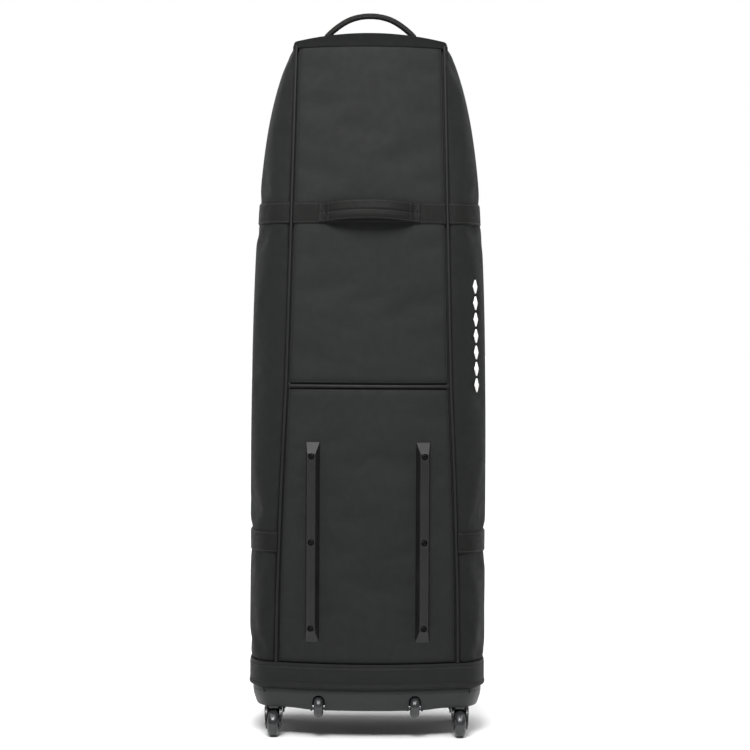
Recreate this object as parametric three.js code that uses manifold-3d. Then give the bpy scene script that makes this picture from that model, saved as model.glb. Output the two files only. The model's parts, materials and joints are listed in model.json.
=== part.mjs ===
// Soft-sided golf travel case, standing upright on four swivel casters.
// Millimetres, +Z up. The skid rails and the rear carry handle are on the -Y side and the
// opening lid is on the +Y side. The origin is on the floor, under the middle of the case.
import * as THREE from 'three';
import { mergeVertices } from 'three/addons/utils/BufferGeometryUtils.js';
import Module from 'manifold-3d';

const wasm = await Module();
wasm.setup();

// ---------------------------------------------------------------- driving dimensions

const gap = 0.3; // clearance between pieces that touch

// Overall form of the soft body
const caseWidth = 429;
const caseDepth = 300;
const shoulderHeight = 1262; // floor to the walls' top edge, at the rear
const shoulderDrop = 22; // how much lower that edge is at the front
const rearRadius = 475; // plan curve of the rear panel
const rearLean = 8; // the rear panel comes forward this much at the top
const frontLean = 42; // and the lid leans back this much
const taperLong = 22; // the sides pull in slowly over the whole height
const taperShoulder = 51; // and again, quickly, under the top
const bellyDepth = 107; // rear panel to the widest line of the sides
const frontCorner = 60; // depth of the rounded front corners
const rearShift = 2.7; // moves the body forward, to centre it between carry handle and pocket

// Widths of the corners, between the side and the piping or the zip
const cornerBase = 49;
const cornerSeam = 65;
const cornerTop = 7.5;
const zipCornerBase = 46;
const zipCornerTop = 10;

// Padded walls
const gussetThickness = 8;
const panelThickness = 10;
const lidThickness = 10;
const boardThickness = 3;
const pipingRadius = 3.2;
const seamHeight = 643; // piped seam between the two rear panels
const zipHalf = 9; // half the width of the zip between gusset and lid
const tapeThickness = 2.5;

// Base
const skirtHeight = 34;
const skirtLip = 2.5; // the tray's top edge lies this far inside the walls
const skirtTaper = 5; // and its lower edge this much further
const skirtDip = 7; // the skirt's edge is lower between the casters
const deckThickness = 4;
const trayWall = 4;
const rimDrop = 4; // the rim inside the band ends this far below the band's top
const bandHeight = 46;
const bandThickness = 4;
const bandBulge = 1.5; // its lower edge stands out this much
const floorThickness = 5;
const floorClearance = 2; // between the floor board and the tray's rim

// Casters
const casterRadius = 24;
const casterWidth = 20;
const casterHood = 8; // height of the fork's crown
const treadClearance = 2; // between a wheel and what it turns under
const casterTrail = 16;
const casterInset = 43.5; // from the side of the case
const casterSetback = 60; // from the rear panel and from the lid
const stemRadius = 5;
const axleRadius = 3;
const forkWall = 5;
const cheekClearance = 1; // between a wheel's side and its fork
const boreClearance = 0.4; // around a stem or an axle in its bore

// Fixed inline wheels in the rear edge
const inlineRadius = 19;
const inlineWidth = 17;
const inlineSpacing = 175;
const inlineSetback = 20;
const inlineDrop = 8; // how far the wheels hang below the deck, past their running clearance
const sweepClearance = 4; // between a wheel's path and the tray's walls
const wellClearance = 2.5; // at each side of an inline wheel
const inlineRib = 4;
const ribDrop = 7; // the ribs reach this far below the inline axle

// Skid rails
const railSpacing = 200;
const railBottom = 178;
const railLength = 364;
const railWidth = 26;
const railTopWidth = 16;
const railHeight = 13;
const railRamp = 21;
const screwRadius = 2;
const screwHead = 5;
const screwHeadHeight = 3.2;
const screwEnd = 5; // from the foot of a ramp to the nearest screw
const grooveSpacing = 8.8;
const grooveWidth = 1.6;
const grooveDepth = 0.8;

// Webbing and handles
const webbingWidth = 38;
const webbingThickness = 1.8;
const upperWebbing = 957; // height of its middle
const lowerWebbing = 358;
const carrySpan = 160;
const carryEnd = 12;
const carryBow = 30; // how far it stands off at its middle
const carryLift = 5; // and how far it rises there
const carrySeat = 0.5; // room for the stitches under its ends
const carryThickness = 3;
const carryWidth = 35; // its edges are turned in a little
const handleRadius = 5.5;
const handleHalfSpan = 78;
const handleRise = 39; // top of the handle over the cap's crown

// Cap
const capEdge = 6.5;
const capCrown = 13;
const capFall = 0.3; // the crown is this share lower at the front

// Front pockets
const pocketMargin = 14;
const pocketRound = 25;
const lowerPocket = { low: 190, high: 560, depth: 19 };
const upperPocket = { low: 640, high: 880, depth: 15 };
const pocketZipDrop = 34;

// Inner cinch strap
const strapHeight = 620;
const strapForward = 52; // behind the lid
const strapClearance = 2.5; // between its ends and the gussets
const buckleDepth = 12;
const buckleSide = 3; // the buckle is this much wider than its webbing, at each side
const socketWall = 2.5;
const prongWidth = 9;
const femaleLength = 38;
const maleLength = 26;
const tongueLength = 24;

// ---------------------------------------------------------------- heights and faces

const casterHeight = 2 * casterRadius + treadClearance + casterHood;
const trayTop = casterHeight + skirtHeight;
const deckUnder = trayTop - deckThickness;
const bandBottom = trayTop + gap;
const bandTop = bandBottom + bandHeight;
const wallBottom = bandTop + gap;
const pipingSlot = pipingRadius + gap;
const zipSlot = zipHalf + gap;
const rearPlane = rearShift - caseDepth / 2;
const frontPlane = rearPlane + caseDepth;
const strapY = frontPlane - strapForward;

const lerp = THREE.MathUtils.lerp;

// How far up the body a height is, from 0 at the tray to 1 at the shoulder.
const rise = (z) => Math.max(0, (z - trayTop) / (shoulderHeight - trayTop));

const halfWidth = (z) => caseWidth / 2 - taperLong * rise(z) ** 3 - taperShoulder * rise(z) ** 9;

const topHalf = halfWidth(shoulderHeight);

// Half the distance between the two rear pipings.
function panelHalf(z) {
  const base = caseWidth / 2 - cornerBase;
  const seam = caseWidth / 2 - cornerSeam;
  if (z < seamHeight) {
    const below = Math.min(1, (seamHeight - z) / (seamHeight - trayTop));
    return lerp(seam, base, Math.sin((below * Math.PI) / 2));
  }
  return lerp(seam, topHalf - cornerTop, (z - seamHeight) / (shoulderHeight - seamHeight));
}

// Half the distance between the two upright runs of the zip.
const lidHalf = (z) => lerp(caseWidth / 2 - zipCornerBase, topHalf - zipCornerTop, rise(z));

const rearFace = (x, z) =>
  rearPlane + rearLean * rise(z) ** 4 + rearRadius - Math.sqrt(rearRadius ** 2 - x ** 2);

const frontFace = (z) => frontPlane - frontLean * rise(z) ** 2.5;

const wallTop = (y) => shoulderHeight - (shoulderDrop * (y - rearPlane)) / caseDepth;

const capBottomFront = wallTop(frontFace(shoulderHeight)) + gap;
const zipTop = capBottomFront - zipSlot;
const lidTop = zipTop - zipSlot;

// A point of the right gusset. along runs from 0 at the piping to 1 at the zip, and out is
// the distance outside the gusset's outer face.
function gussetPoint(along, z, out) {
  const cornerShare = 0.4;
  const pipe = panelHalf(z) + pipingSlot;
  const zip = lidHalf(z) + zipSlot;
  const wide = halfWidth(z) + out;
  const rear = rearFace(panelHalf(z), z) - out;
  const belly = rearFace(0, z) + bellyDepth;
  const front = frontFace(z) + out;
  const shoulder = frontFace(z) - frontCorner;
  if (along < cornerShare) {
    const angle = ((along / cornerShare) * Math.PI) / 2;
    return new THREE.Vector3(
      pipe + (wide - pipe) * Math.sin(angle),
      belly - (belly - rear) * Math.cos(angle),
      z,
    );
  }
  if (along > 1 - cornerShare) {
    const angle = (((1 - along) / cornerShare) * Math.PI) / 2;
    return new THREE.Vector3(
      zip + (wide - zip) * Math.sin(angle),
      shoulder + (front - shoulder) * Math.cos(angle),
      z,
    );
  }
  const middle = (along - cornerShare) / (1 - 2 * cornerShare);
  return new THREE.Vector3(wide, lerp(belly, shoulder, middle), z);
}

// A point of the whole plan outline. around runs once round the case, a quarter of it for
// each of the rear, the right side, the front and the left side.
function outlinePoint(around, z, out) {
  const quarter = Math.floor(around * 4) % 4;
  const part = around * 4 - Math.floor(around * 4);
  if (quarter === 0) {
    const x = (2 * part - 1) * (panelHalf(z) + pipingSlot);
    return new THREE.Vector3(x, rearFace(x, z) - out, z);
  }
  if (quarter === 2) {
    return new THREE.Vector3((1 - 2 * part) * (lidHalf(z) + zipSlot), frontFace(z) + out, z);
  }
  const point = gussetPoint(quarter === 1 ? part : 1 - part, z, out);
  return quarter === 1 ? point : point.setX(-point.x);
}

// ---------------------------------------------------------------- shape tools

// Turns a list of points and triangles into a closed geometry whose faces point out.
function closedGeometry(points, triangles) {
  let volume = 0;
  for (const [a, b, c] of triangles) {
    volume += points[a].dot(new THREE.Vector3().crossVectors(points[b], points[c]));
  }
  const index = triangles.flatMap(([a, b, c]) => (volume > 0 ? [a, b, c] : [a, c, b]));
  const geometry = new THREE.BufferGeometry().setFromPoints(points);
  geometry.setIndex(index);
  return geometry;
}

// A sheet with a thickness. at(u, v, side) is a point of its inner face, side 0, or of its
// outer face, side 1. A looped sheet closes on itself along u.
function sheet(columns, rows, at, looped = false) {
  const points = [];
  const across = looped ? columns : columns + 1;
  for (const side of [0, 1]) {
    for (let row = 0; row <= rows; row += 1) {
      for (let column = 0; column < across; column += 1) {
        points.push(at(column / columns, row / rows, side));
      }
    }
  }
  const id = (side, row, column) => (side * (rows + 1) + row) * across + (column % across);
  const triangles = [];
  const quad = (a, b, c, d) => triangles.push([a, b, c], [a, c, d]);
  for (let column = 0; column < columns; column += 1) {
    for (let row = 0; row < rows; row += 1) {
      const corners = [[row, column], [row, column + 1], [row + 1, column + 1], [row + 1, column]];
      const [inner, outer] = [0, 1].map((side) => corners.map((corner) => id(side, ...corner)));
      quad(...outer);
      quad(...inner.reverse());
    }
    quad(id(0, 0, column), id(0, 0, column + 1), id(1, 0, column + 1), id(1, 0, column));
    quad(id(1, rows, column), id(1, rows, column + 1), id(0, rows, column + 1), id(0, rows, column));
  }
  if (!looped) {
    for (let row = 0; row < rows; row += 1) {
      quad(id(1, row, 0), id(1, row + 1, 0), id(0, row + 1, 0), id(0, row, 0));
      quad(id(0, row, columns), id(0, row + 1, columns), id(1, row + 1, columns), id(1, row, columns));
    }
  }
  return closedGeometry(points, triangles);
}

// A full block whose level outlines are given by at(u, v), closed at both ends.
function block(columns, rows, at) {
  const points = [];
  for (let row = 0; row <= rows; row += 1) {
    for (let column = 0; column < columns; column += 1) {
      points.push(at(column / columns, row / rows));
    }
  }
  const id = (row, column) => row * columns + (column % columns);
  const triangles = [];
  for (let column = 0; column < columns; column += 1) {
    for (let row = 0; row < rows; row += 1) {
      triangles.push([id(row, column), id(row, column + 1), id(row + 1, column + 1)]);
      triangles.push([id(row, column), id(row + 1, column + 1), id(row + 1, column)]);
    }
  }
  for (const [row, flip] of [[0, true], [rows, false]]) {
    const ring = points.slice(row * columns, (row + 1) * columns);
    const middle = ring.reduce((sum, point) => sum.add(point), new THREE.Vector3());
    points.push(middle.divideScalar(columns));
    const centre = points.length - 1;
    for (let column = 0; column < columns; column += 1) {
      const [a, b] = [id(row, column), id(row, column + 1)];
      triangles.push(flip ? [centre, b, a] : [centre, a, b]);
    }
  }
  return closedGeometry(points, triangles);
}

function solidOf(geometry) {
  const bare = geometry.clone();
  bare.deleteAttribute('normal');
  bare.deleteAttribute('uv');
  const merged = mergeVertices(bare, 1e-3);
  const vertProperties = new Float32Array(merged.attributes.position.array);
  const triVerts = new Uint32Array(merged.index.array);
  return new wasm.Manifold(new wasm.Mesh({ numProp: 3, vertProperties, triVerts }));
}

function geometryOf(solid) {
  const mesh = solid.getMesh();
  const geometry = new THREE.BufferGeometry();
  geometry.setAttribute('position', new THREE.BufferAttribute(mesh.vertProperties, 3));
  geometry.setIndex(new THREE.BufferAttribute(mesh.triVerts, 1));
  return geometry;
}

const join = (...parts) => geometryOf(parts.map(solidOf).reduce((sum, part) => sum.add(part)));

const cut = (body, ...tools) =>
  geometryOf(tools.map(solidOf).reduce((rest, tool) => rest.subtract(tool), solidOf(body)));

// A box given by its lowest and highest corners.
function box(low, high) {
  const size = high.map((value, axis) => value - low[axis]);
  const geometry = new THREE.BoxGeometry(...size);
  return geometry.translate(...low.map((value, axis) => value + size[axis] / 2));
}

// Rods along X, Y and Z, given by their middle.
function rodX(radius, length, x, y, z, sides = 12) {
  const geometry = new THREE.CylinderGeometry(radius, radius, length, sides);
  return geometry.rotateZ(-Math.PI / 2).translate(x, y, z);
}

function rodY(radius, length, x, y, z, sides = 12) {
  return new THREE.CylinderGeometry(radius, radius, length, sides).translate(x, y, z);
}

function rodZ(radius, low, high, x, y, sides = 20) {
  const geometry = new THREE.CylinderGeometry(radius, radius, high - low, sides);
  return geometry.rotateX(Math.PI / 2).translate(x, y, (low + high) / 2);
}

// A side profile, drawn in Y and Z, pushed along X to a width about the middle.
function acrossX(shape, width) {
  const settings = { depth: width, bevelEnabled: false, curveSegments: 8 };
  const geometry = new THREE.ExtrudeGeometry(shape, settings);
  geometry.translate(0, 0, -width / 2);
  const turn = new THREE.Matrix4().makeBasis(
    new THREE.Vector3(0, 1, 0),
    new THREE.Vector3(0, 0, 1),
    new THREE.Vector3(1, 0, 0),
  );
  return geometry.applyMatrix4(turn);
}

function polygon(...corners) {
  return new THREE.Shape(corners.map(([x, y]) => new THREE.Vector2(x, y)));
}

// A round cord along a smooth curve through some points.
function cord(points, radius, steps, sides = 8) {
  const section = new THREE.Shape();
  for (let side = 0; side < sides; side += 1) {
    const angle = (side / sides) * 2 * Math.PI;
    const [x, y] = [radius * Math.cos(angle), radius * Math.sin(angle)];
    if (side === 0) section.moveTo(x, y);
    else section.lineTo(x, y);
  }
  section.closePath();
  const extrudePath = new THREE.CatmullRomCurve3(points, false, 'centripetal');
  return new THREE.ExtrudeGeometry(section, { steps, extrudePath });
}

// ---------------------------------------------------------------- materials and naming

const finishes = {
  fabric: { color: 0x3a3b3d, roughness: 0.85, metalness: 0 },
  webbing: { color: 0x2d2c2c, roughness: 0.8, metalness: 0 },
  piping: { color: 0x2a2a2b, roughness: 0.6, metalness: 0 },
  board: { color: 0x4a4a4a, roughness: 0.7, metalness: 0 },
  tray: { color: 0x3e3d41, roughness: 0.45, metalness: 0 },
  rail: { color: 0x373737, roughness: 0.4, metalness: 0 },
  screw: { color: 0x101010, roughness: 0.35, metalness: 0.9 },
  fork: { color: 0x1b1b1d, roughness: 0.35, metalness: 0 },
  tyre: { color: 0x3b3b3f, roughness: 0.3, metalness: 0 },
  axle: { color: 0x9a9a9a, roughness: 0.3, metalness: 1 },
  zip: { color: 0x202022, roughness: 0.6, metalness: 0 },
  slider: { color: 0x55565a, roughness: 0.3, metalness: 1 },
  grip: { color: 0x242425, roughness: 0.7, metalness: 0 },
};

const travelCase = new THREE.Group();

function piece(name, geometry, finish, parent = travelCase) {
  const mesh = new THREE.Mesh(geometry, new THREE.MeshStandardMaterial(finishes[finish]));
  mesh.name = name;
  parent.add(mesh);
  return mesh;
}

const sides = [['left', -1], ['right', 1]];

// ---------------------------------------------------------------- skid rails

// Each rail stands square to the curved rear panel, so its group is turned to face outwards.
function railGroup(side) {
  const x = (side * railSpacing) / 2;
  const group = new THREE.Group();
  group.position.set(x, rearFace(x, railBottom) - gap, railBottom);
  group.rotation.z = Math.asin(x / rearRadius);
  group.updateMatrix();
  return group;
}

const screwHeights = [railRamp + screwEnd, railLength / 2, railLength - railRamp - screwEnd];

// The heads are sunk just under the rail's face, so that nothing stands in front of it.
const screwSink = screwHeadHeight + 2 * gap;

// From under a screw's head to the screw's end, just inside the back board.
const fixingDepth = railHeight - screwSink + panelThickness + boardThickness + 4 * gap;

// The clearance hole of each rail screw, through rail, rear panel and back board.
function screwHoles() {
  const reach = 2 * fixingDepth;
  return screwHeights.map((z) => rodY(screwRadius + 2 * gap, reach, 0, 0, z, 8));
}

function railGeometry() {
  const foot = railWidth / 2;
  const crown = railTopWidth / 2;
  const section = polygon([-foot, 0], [-crown, -railHeight], [crown, -railHeight], [foot, 0]);
  const bar = new THREE.ExtrudeGeometry(section, { depth: railLength, bevelEnabled: false });
  const side = polygon(
    [0, 0],
    [0, railLength],
    [-railHeight, railLength - railRamp],
    [-railHeight, railRamp],
  );
  const body = geometryOf(solidOf(bar).intersect(solidOf(acrossX(side, railWidth))));
  const grooves = [-1, 1].map((place) => {
    const middle = (place * grooveSpacing) / 2;
    return box(
      [middle - grooveWidth / 2, -railHeight - 1, railRamp + 1],
      [middle + grooveWidth / 2, grooveDepth - railHeight, railLength - railRamp - 1],
    );
  });
  const seats = screwHeights.map((z) =>
    rodY(screwHead + gap, 2 * screwSink, 0, -railHeight, z, 16),
  );
  return cut(body, ...grooves, ...screwHoles(), ...seats);
}

function screwGeometry() {
  const profile = [
    [0, 0],
    [screwRadius, 0],
    [screwRadius, fixingDepth],
    [screwHead, fixingDepth],
    [screwHead * 0.85, fixingDepth + screwHeadHeight * 0.6],
    [screwHead * 0.45, fixingDepth + screwHeadHeight * 0.95],
    [0, fixingDepth + screwHeadHeight],
  ];
  const points = profile.map(([radius, height]) => new THREE.Vector2(radius, height));
  return new THREE.LatheGeometry(points, 8).rotateX(Math.PI);
}

for (const [name, side] of sides) {
  const group = railGroup(side);
  travelCase.add(group);
  piece(`skid_rail_${name}`, railGeometry(), 'rail', group);
  screwHeights.forEach((z, number) => {
    const screw = piece(`rail_screw_${name}_${number + 1}`, screwGeometry(), 'screw', group);
    screw.position.set(0, fixingDepth + screwSink - railHeight - gap, z);
  });
}

const panelHoles = sides.flatMap(([, side]) => {
  const { matrix } = railGroup(side);
  return screwHoles().map((hole) => hole.applyMatrix4(matrix));
});

// ---------------------------------------------------------------- soft walls

// The curved walls are faceted, so a taller case has more rows of facets.
const facetHeight = 100;
const panelColumns = 10;
const wallRows = Math.ceil(shoulderHeight / facetHeight);

// Crowds the rows of a wall towards the top, where it curves most.
const upward = (v) => 1 - (1 - v) ** 1.4;

function rearPanel(rows, heightAt) {
  return sheet(panelColumns, rows, (u, v, side) => {
    const z = heightAt(u, v);
    const x = (2 * u - 1) * (panelHalf(z) - pipingSlot);
    return new THREE.Vector3(x, rearFace(x, z) + (side ? 0 : panelThickness), z);
  });
}

const lowerPanel = rearPanel(6, (u, v) => lerp(wallBottom, seamHeight - pipingSlot, v));
piece('rear_panel_lower', cut(lowerPanel, ...panelHoles), 'fabric');

const upperPanel = rearPanel(8, (u, v) => {
  const x = (2 * u - 1) * panelHalf(shoulderHeight);
  return lerp(seamHeight + pipingSlot, wallTop(rearFace(x, shoulderHeight) + panelThickness), v);
});
piece('rear_panel_upper', upperPanel, 'fabric');

const boardHalf = (railSpacing + railWidth) / 2 + 12;
const boardMargin = 20;
const backBoard = sheet(8, 4, (u, v, side) => {
  const z = lerp(wallBottom + boardMargin, seamHeight - boardMargin, v);
  const x = (2 * u - 1) * boardHalf;
  const depth = panelThickness + 3 * gap + (side ? 0 : boardThickness);
  return new THREE.Vector3(x, rearFace(x, z) + depth, z);
});
piece('back_board', cut(backBoard, ...panelHoles), 'board');

function onSide(point, side) {
  return point.setX(point.x * side);
}

for (const [name, side] of sides) {
  const gusset = sheet(10, wallRows, (u, v, face) => {
    const top = wallTop(gussetPoint(u, shoulderHeight, 0).y + gussetThickness);
    const z = lerp(wallBottom, top, upward(v));
    return onSide(gussetPoint(u, z, face ? 0 : -gussetThickness), side);
  });
  piece(`gusset_${name}`, gusset, 'fabric');
}

// The piping at the rear corners, from the band to the cap.
for (const [name, side] of sides) {
  const points = [];
  const pipingTop = wallTop(rearFace(topHalf, shoulderHeight));
  for (let station = 0; station <= wallRows; station += 1) {
    const z = lerp(wallBottom, pipingTop, station / wallRows);
    const x = panelHalf(z);
    points.push(new THREE.Vector3(side * x, rearFace(x, z), z));
  }
  piece(`piping_${name}`, cord(points, pipingRadius, 2 * wallRows + 4), 'piping');
}

const crossPiping = [];
for (let station = 0; station <= 10; station += 1) {
  const x = (station / 5 - 1) * (panelHalf(seamHeight) - 2 * pipingSlot);
  crossPiping.push(new THREE.Vector3(x, rearFace(x, seamHeight), seamHeight));
}
piece('piping_cross', cord(crossPiping, pipingRadius, 12), 'piping');

// ---------------------------------------------------------------- padded top cap and its handle

// A point of the cap. across runs from side to side and back from the rear edge to the front.
function capPoint(across, back, height) {
  const edge = gussetPoint(back, shoulderHeight, 0);
  const rearEdge = panelHalf(shoulderHeight) + pipingSlot;
  const share = 2 * across - 1;
  const curve = rearFace(share * rearEdge, shoulderHeight) - rearFace(rearEdge, shoulderHeight);
  const y = edge.y + (1 - back) * curve;
  return new THREE.Vector3(share * edge.x, y, wallTop(y) + gap + height);
}

function capHeight(across, back) {
  const arch = 1 - (2 * across - 1) ** 2;
  return capEdge + capCrown * arch * (1 - capFall * back);
}

const cap = sheet(12, 12, (u, v, face) => capPoint(u, v, face ? capHeight(u, v) : 0));
piece('top_cap', cap, 'fabric');

const capCrownTop = shoulderHeight + capEdge + capCrown;
const handleMiddle = capCrownTop + handleRise - handleRadius;
const handleSetback = 30;
const handleFoot = capPoint(0.5 + handleHalfSpan / (2 * topHalf), 0.1, 0);
const footHeight = handleFoot.z + capHeight(0.5 + handleHalfSpan / (2 * topHalf), 0) + 0.87 * handleRadius;
const handleY = rearPlane + rearLean + handleSetback;
const handleOutline = [
  [1, 0],
  [0.75, 0.45],
  [0.5, 0.78],
  [0.25, 0.95],
  [0, 1],
];
const handlePoints = [];
for (const side of [-1, 1]) {
  const half = handleOutline.map(
    ([out, up]) =>
      new THREE.Vector3(side * out * handleHalfSpan, handleY, lerp(footHeight, handleMiddle, up)),
  );
  handlePoints.push(...(side < 0 ? half : half.reverse().slice(1)));
}
piece('top_handle', cord(handlePoints, handleRadius, 28), 'grip');

// ---------------------------------------------------------------- lid, its zip and its pockets

const lid = sheet(8, wallRows, (u, v, face) => {
  const z = lerp(wallBottom, lidTop, v);
  const x = (2 * u - 1) * (lidHalf(z) - zipSlot);
  return new THREE.Vector3(x, frontFace(z) - (face ? 0 : lidThickness), z);
});
piece('lid_panel', lid, 'fabric');

// One half of the zip: a ribbon up the left side, across under the cap and down the right
// side. from and to are its edges, as distances outside the zip's middle line.
function zipRibbon(from, to) {
  const upright = 12;
  const level = 8;
  const columns = 2 * upright + level;
  const recess = 1;
  return sheet(columns, 1, (u, v, face) => {
    const out = lerp(from, to, v);
    const station = Math.round(u * columns);
    const top = zipTop + out;
    let x = 0;
    let z = top;
    if (station < upright || station > upright + level) {
      const fromEnd = Math.min(station, columns - station);
      z = lerp(wallBottom, top, fromEnd / upright);
      x = Math.sign(station - columns / 2) * (lidHalf(z) + out);
    } else {
      x = ((2 * (station - upright)) / level - 1) * (lidHalf(top) + out);
    }
    return new THREE.Vector3(x, frontFace(z) - recess - (face ? 0 : tapeThickness), z);
  });
}

piece('zip_tape_case', zipRibbon(gap / 2, zipHalf), 'zip');
piece('zip_tape_lid', zipRibbon(-zipHalf, -gap / 2), 'zip');

const pocketLift = 1; // the pocket stands this far off the lid

function pocketGeometry({ low, high, depth }) {
  const spread = (share) => 0.5 - 0.5 * Math.cos(Math.PI * share);
  return sheet(10, 8, (u, v, face) => {
    const z = lerp(low, high, spread(v));
    const half = lidHalf(z) - zipSlot - pocketMargin;
    const x = (2 * spread(u) - 1) * half;
    const inside = Math.min(half - Math.abs(x), z - low, high - z);
    const swell = 1 - 0.6 * (1 - Math.min(1, inside / pocketRound)) ** 2;
    return new THREE.Vector3(x, frontFace(z) + pocketLift + (face ? depth * swell : 0), z);
  });
}

piece('pocket_lower', pocketGeometry(lowerPocket), 'fabric');
piece('pocket_upper', pocketGeometry(upperPocket), 'fabric');

// A zip slider lies on its tape and carries a bridge, on which its pull tab hangs.
const sliderLength = 14;
const sliderThickness = 4;
const bridgeRadius = 1.5;
const pullWidth = 7;
const pullLength = 36;
const pullThickness = 2;
const eyeRadius = bridgeRadius + 0.4;
const eyeWall = 1.5;
const bridgeForward = sliderThickness + eyeRadius + eyeWall + gap;

function sliderGeometry() {
  const [long, wide] = [sliderLength / 2, 5.5];
  const outline = polygon(
    [-long, -wide * 0.7],
    [0, -wide],
    [long, -wide * 0.7],
    [long, wide * 0.7],
    [0, wide],
    [-long, wide * 0.7],
  );
  const body = new THREE.ExtrudeGeometry(outline, { depth: sliderThickness, bevelEnabled: false });
  body.rotateX(Math.PI / 2).translate(0, sliderThickness, 0);
  const postReach = bridgeForward + bridgeRadius;
  const posts = [-1, 1].map((end) => {
    const middle = end * (pullWidth / 2 + 1.5);
    return box([middle - 1, sliderThickness - 1, -bridgeRadius], [middle + 1, postReach, bridgeRadius]);
  });
  return join(body, ...posts, rodX(bridgeRadius, pullWidth + 3, 0, bridgeForward, 0, 8));
}

function pullGeometry() {
  const outer = eyeRadius + eyeWall;
  const neck = Math.asin(pullThickness / 2 / outer);
  const shape = new THREE.Shape();
  shape.moveTo(-pullThickness / 2, -pullLength);
  shape.lineTo(pullThickness / 2, -pullLength);
  shape.absarc(0, 0, outer, neck - Math.PI / 2, 1.5 * Math.PI - neck, false);
  shape.closePath();
  const eye = new THREE.Path();
  eye.absarc(0, 0, eyeRadius, 0, 2 * Math.PI, true);
  shape.holes.push(eye);
  return acrossX(shape, pullWidth);
}

function addSlider(name, x, y, z) {
  const group = new THREE.Group();
  group.position.set(x, y, z);
  travelCase.add(group);
  piece(`${name}_slider`, sliderGeometry(), 'slider', group);
  piece(`${name}_pull`, pullGeometry(), 'slider', group).position.set(0, bridgeForward, 0);
}

const sliderPair = sliderLength / 2 + 2;
for (const [name, side] of sides) {
  addSlider(`zip_${name}`, side * sliderPair, frontFace(zipTop), zipTop);
}
for (const [name, pocket] of [['pocket_lower', lowerPocket], ['pocket_upper', upperPocket]]) {
  const z = pocket.high - pocketZipDrop;
  const x = pocketRound + pocketMargin + zipSlot - lidHalf(z);
  addSlider(name, x, frontFace(z) + pocketLift + pocket.depth + 2 * gap, z);
}

// ---------------------------------------------------------------- webbing and carry handle

const webbingLow = (middle) => middle - webbingWidth / 2;

const rearWebbing = sheet(panelColumns, 1, (u, v, face) => {
  const z = webbingLow(upperWebbing) + v * webbingWidth;
  const x = (2 * u - 1) * (panelHalf(z) - pipingSlot);
  return new THREE.Vector3(x, rearFace(x, z) - gap - (face ? webbingThickness : 0), z);
});
piece('webbing_rear', rearWebbing, 'webbing');

for (const [level, height] of [['upper', upperWebbing], ['lower', lowerWebbing]]) {
  for (const [name, side] of sides) {
    const webbing = sheet(10, 1, (u, v, face) => {
      const z = webbingLow(height) + v * webbingWidth;
      return onSide(gussetPoint(u, z, gap + (face ? webbingThickness : 0)), side);
    });
    piece(`webbing_${level}_${name}`, webbing, 'webbing');
  }
}

const carryHalf = carrySpan / 2 + carryEnd;
const carryHandle = sheet(20, 1, (u, v, face) => {
  const x = (2 * u - 1) * carryHalf;
  const inSpan = Math.max(0, 1 - (2 * x / carrySpan) ** 2);
  const bow = carryBow * inSpan ** 0.8;
  const z = upperWebbing + (v - 0.5) * carryWidth + carryLift * inSpan;
  const seat = rearFace(x, upperWebbing) - webbingThickness - 2 * gap - carrySeat;
  return new THREE.Vector3(x, seat - bow - (face ? carryThickness : 0), z);
});
piece('carry_handle', carryHandle, 'webbing');

// ---------------------------------------------------------------- base tray, band and floor

const outlineColumns = 36;

// A level slab of the plan outline, from a low height to a high one.
const plate = (low, high, out) =>
  block(outlineColumns, 1, (u, v) => outlinePoint(u, trayTop, out).setZ(lerp(low, high, v)));

const skirtLift = 1.5; // the skirt ends this far above the sockets' face
const skirtBottom = casterHeight + skirtLift - skirtDip;

function skirtBlock(low, high, wall) {
  return block(outlineColumns, 3, (u, v) => {
    const z = lerp(low, high, v);
    const below = Math.max(0, (trayTop - z) / skirtHeight);
    const out = -skirtLip - skirtTaper * below ** 2 - wall;
    return outlinePoint(u, trayTop, out).setZ(z);
  });
}

const casterX = caseWidth / 2 - casterInset;
const casterPlaces = sides.flatMap(([name, side]) => [
  [`rear_${name}`, side * casterX, rearPlane + casterSetback],
  [`front_${name}`, side * casterX, frontPlane - casterSetback],
]);
const forkHalf = casterWidth / 2 + cheekClearance + forkWall;
const crownRadius = forkHalf + 1;
const swivelReach = Math.hypot(casterTrail + casterRadius, forkHalf);

const inlinePlaces = sides.map(([name, side]) => [name, (side * inlineSpacing) / 2]);
const inlineY = rearPlane + inlineSetback;
const inlineZ = deckUnder - inlineDrop - inlineRadius - treadClearance;
const inlineSlot = inlineWidth + 2 * wellClearance;

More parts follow.
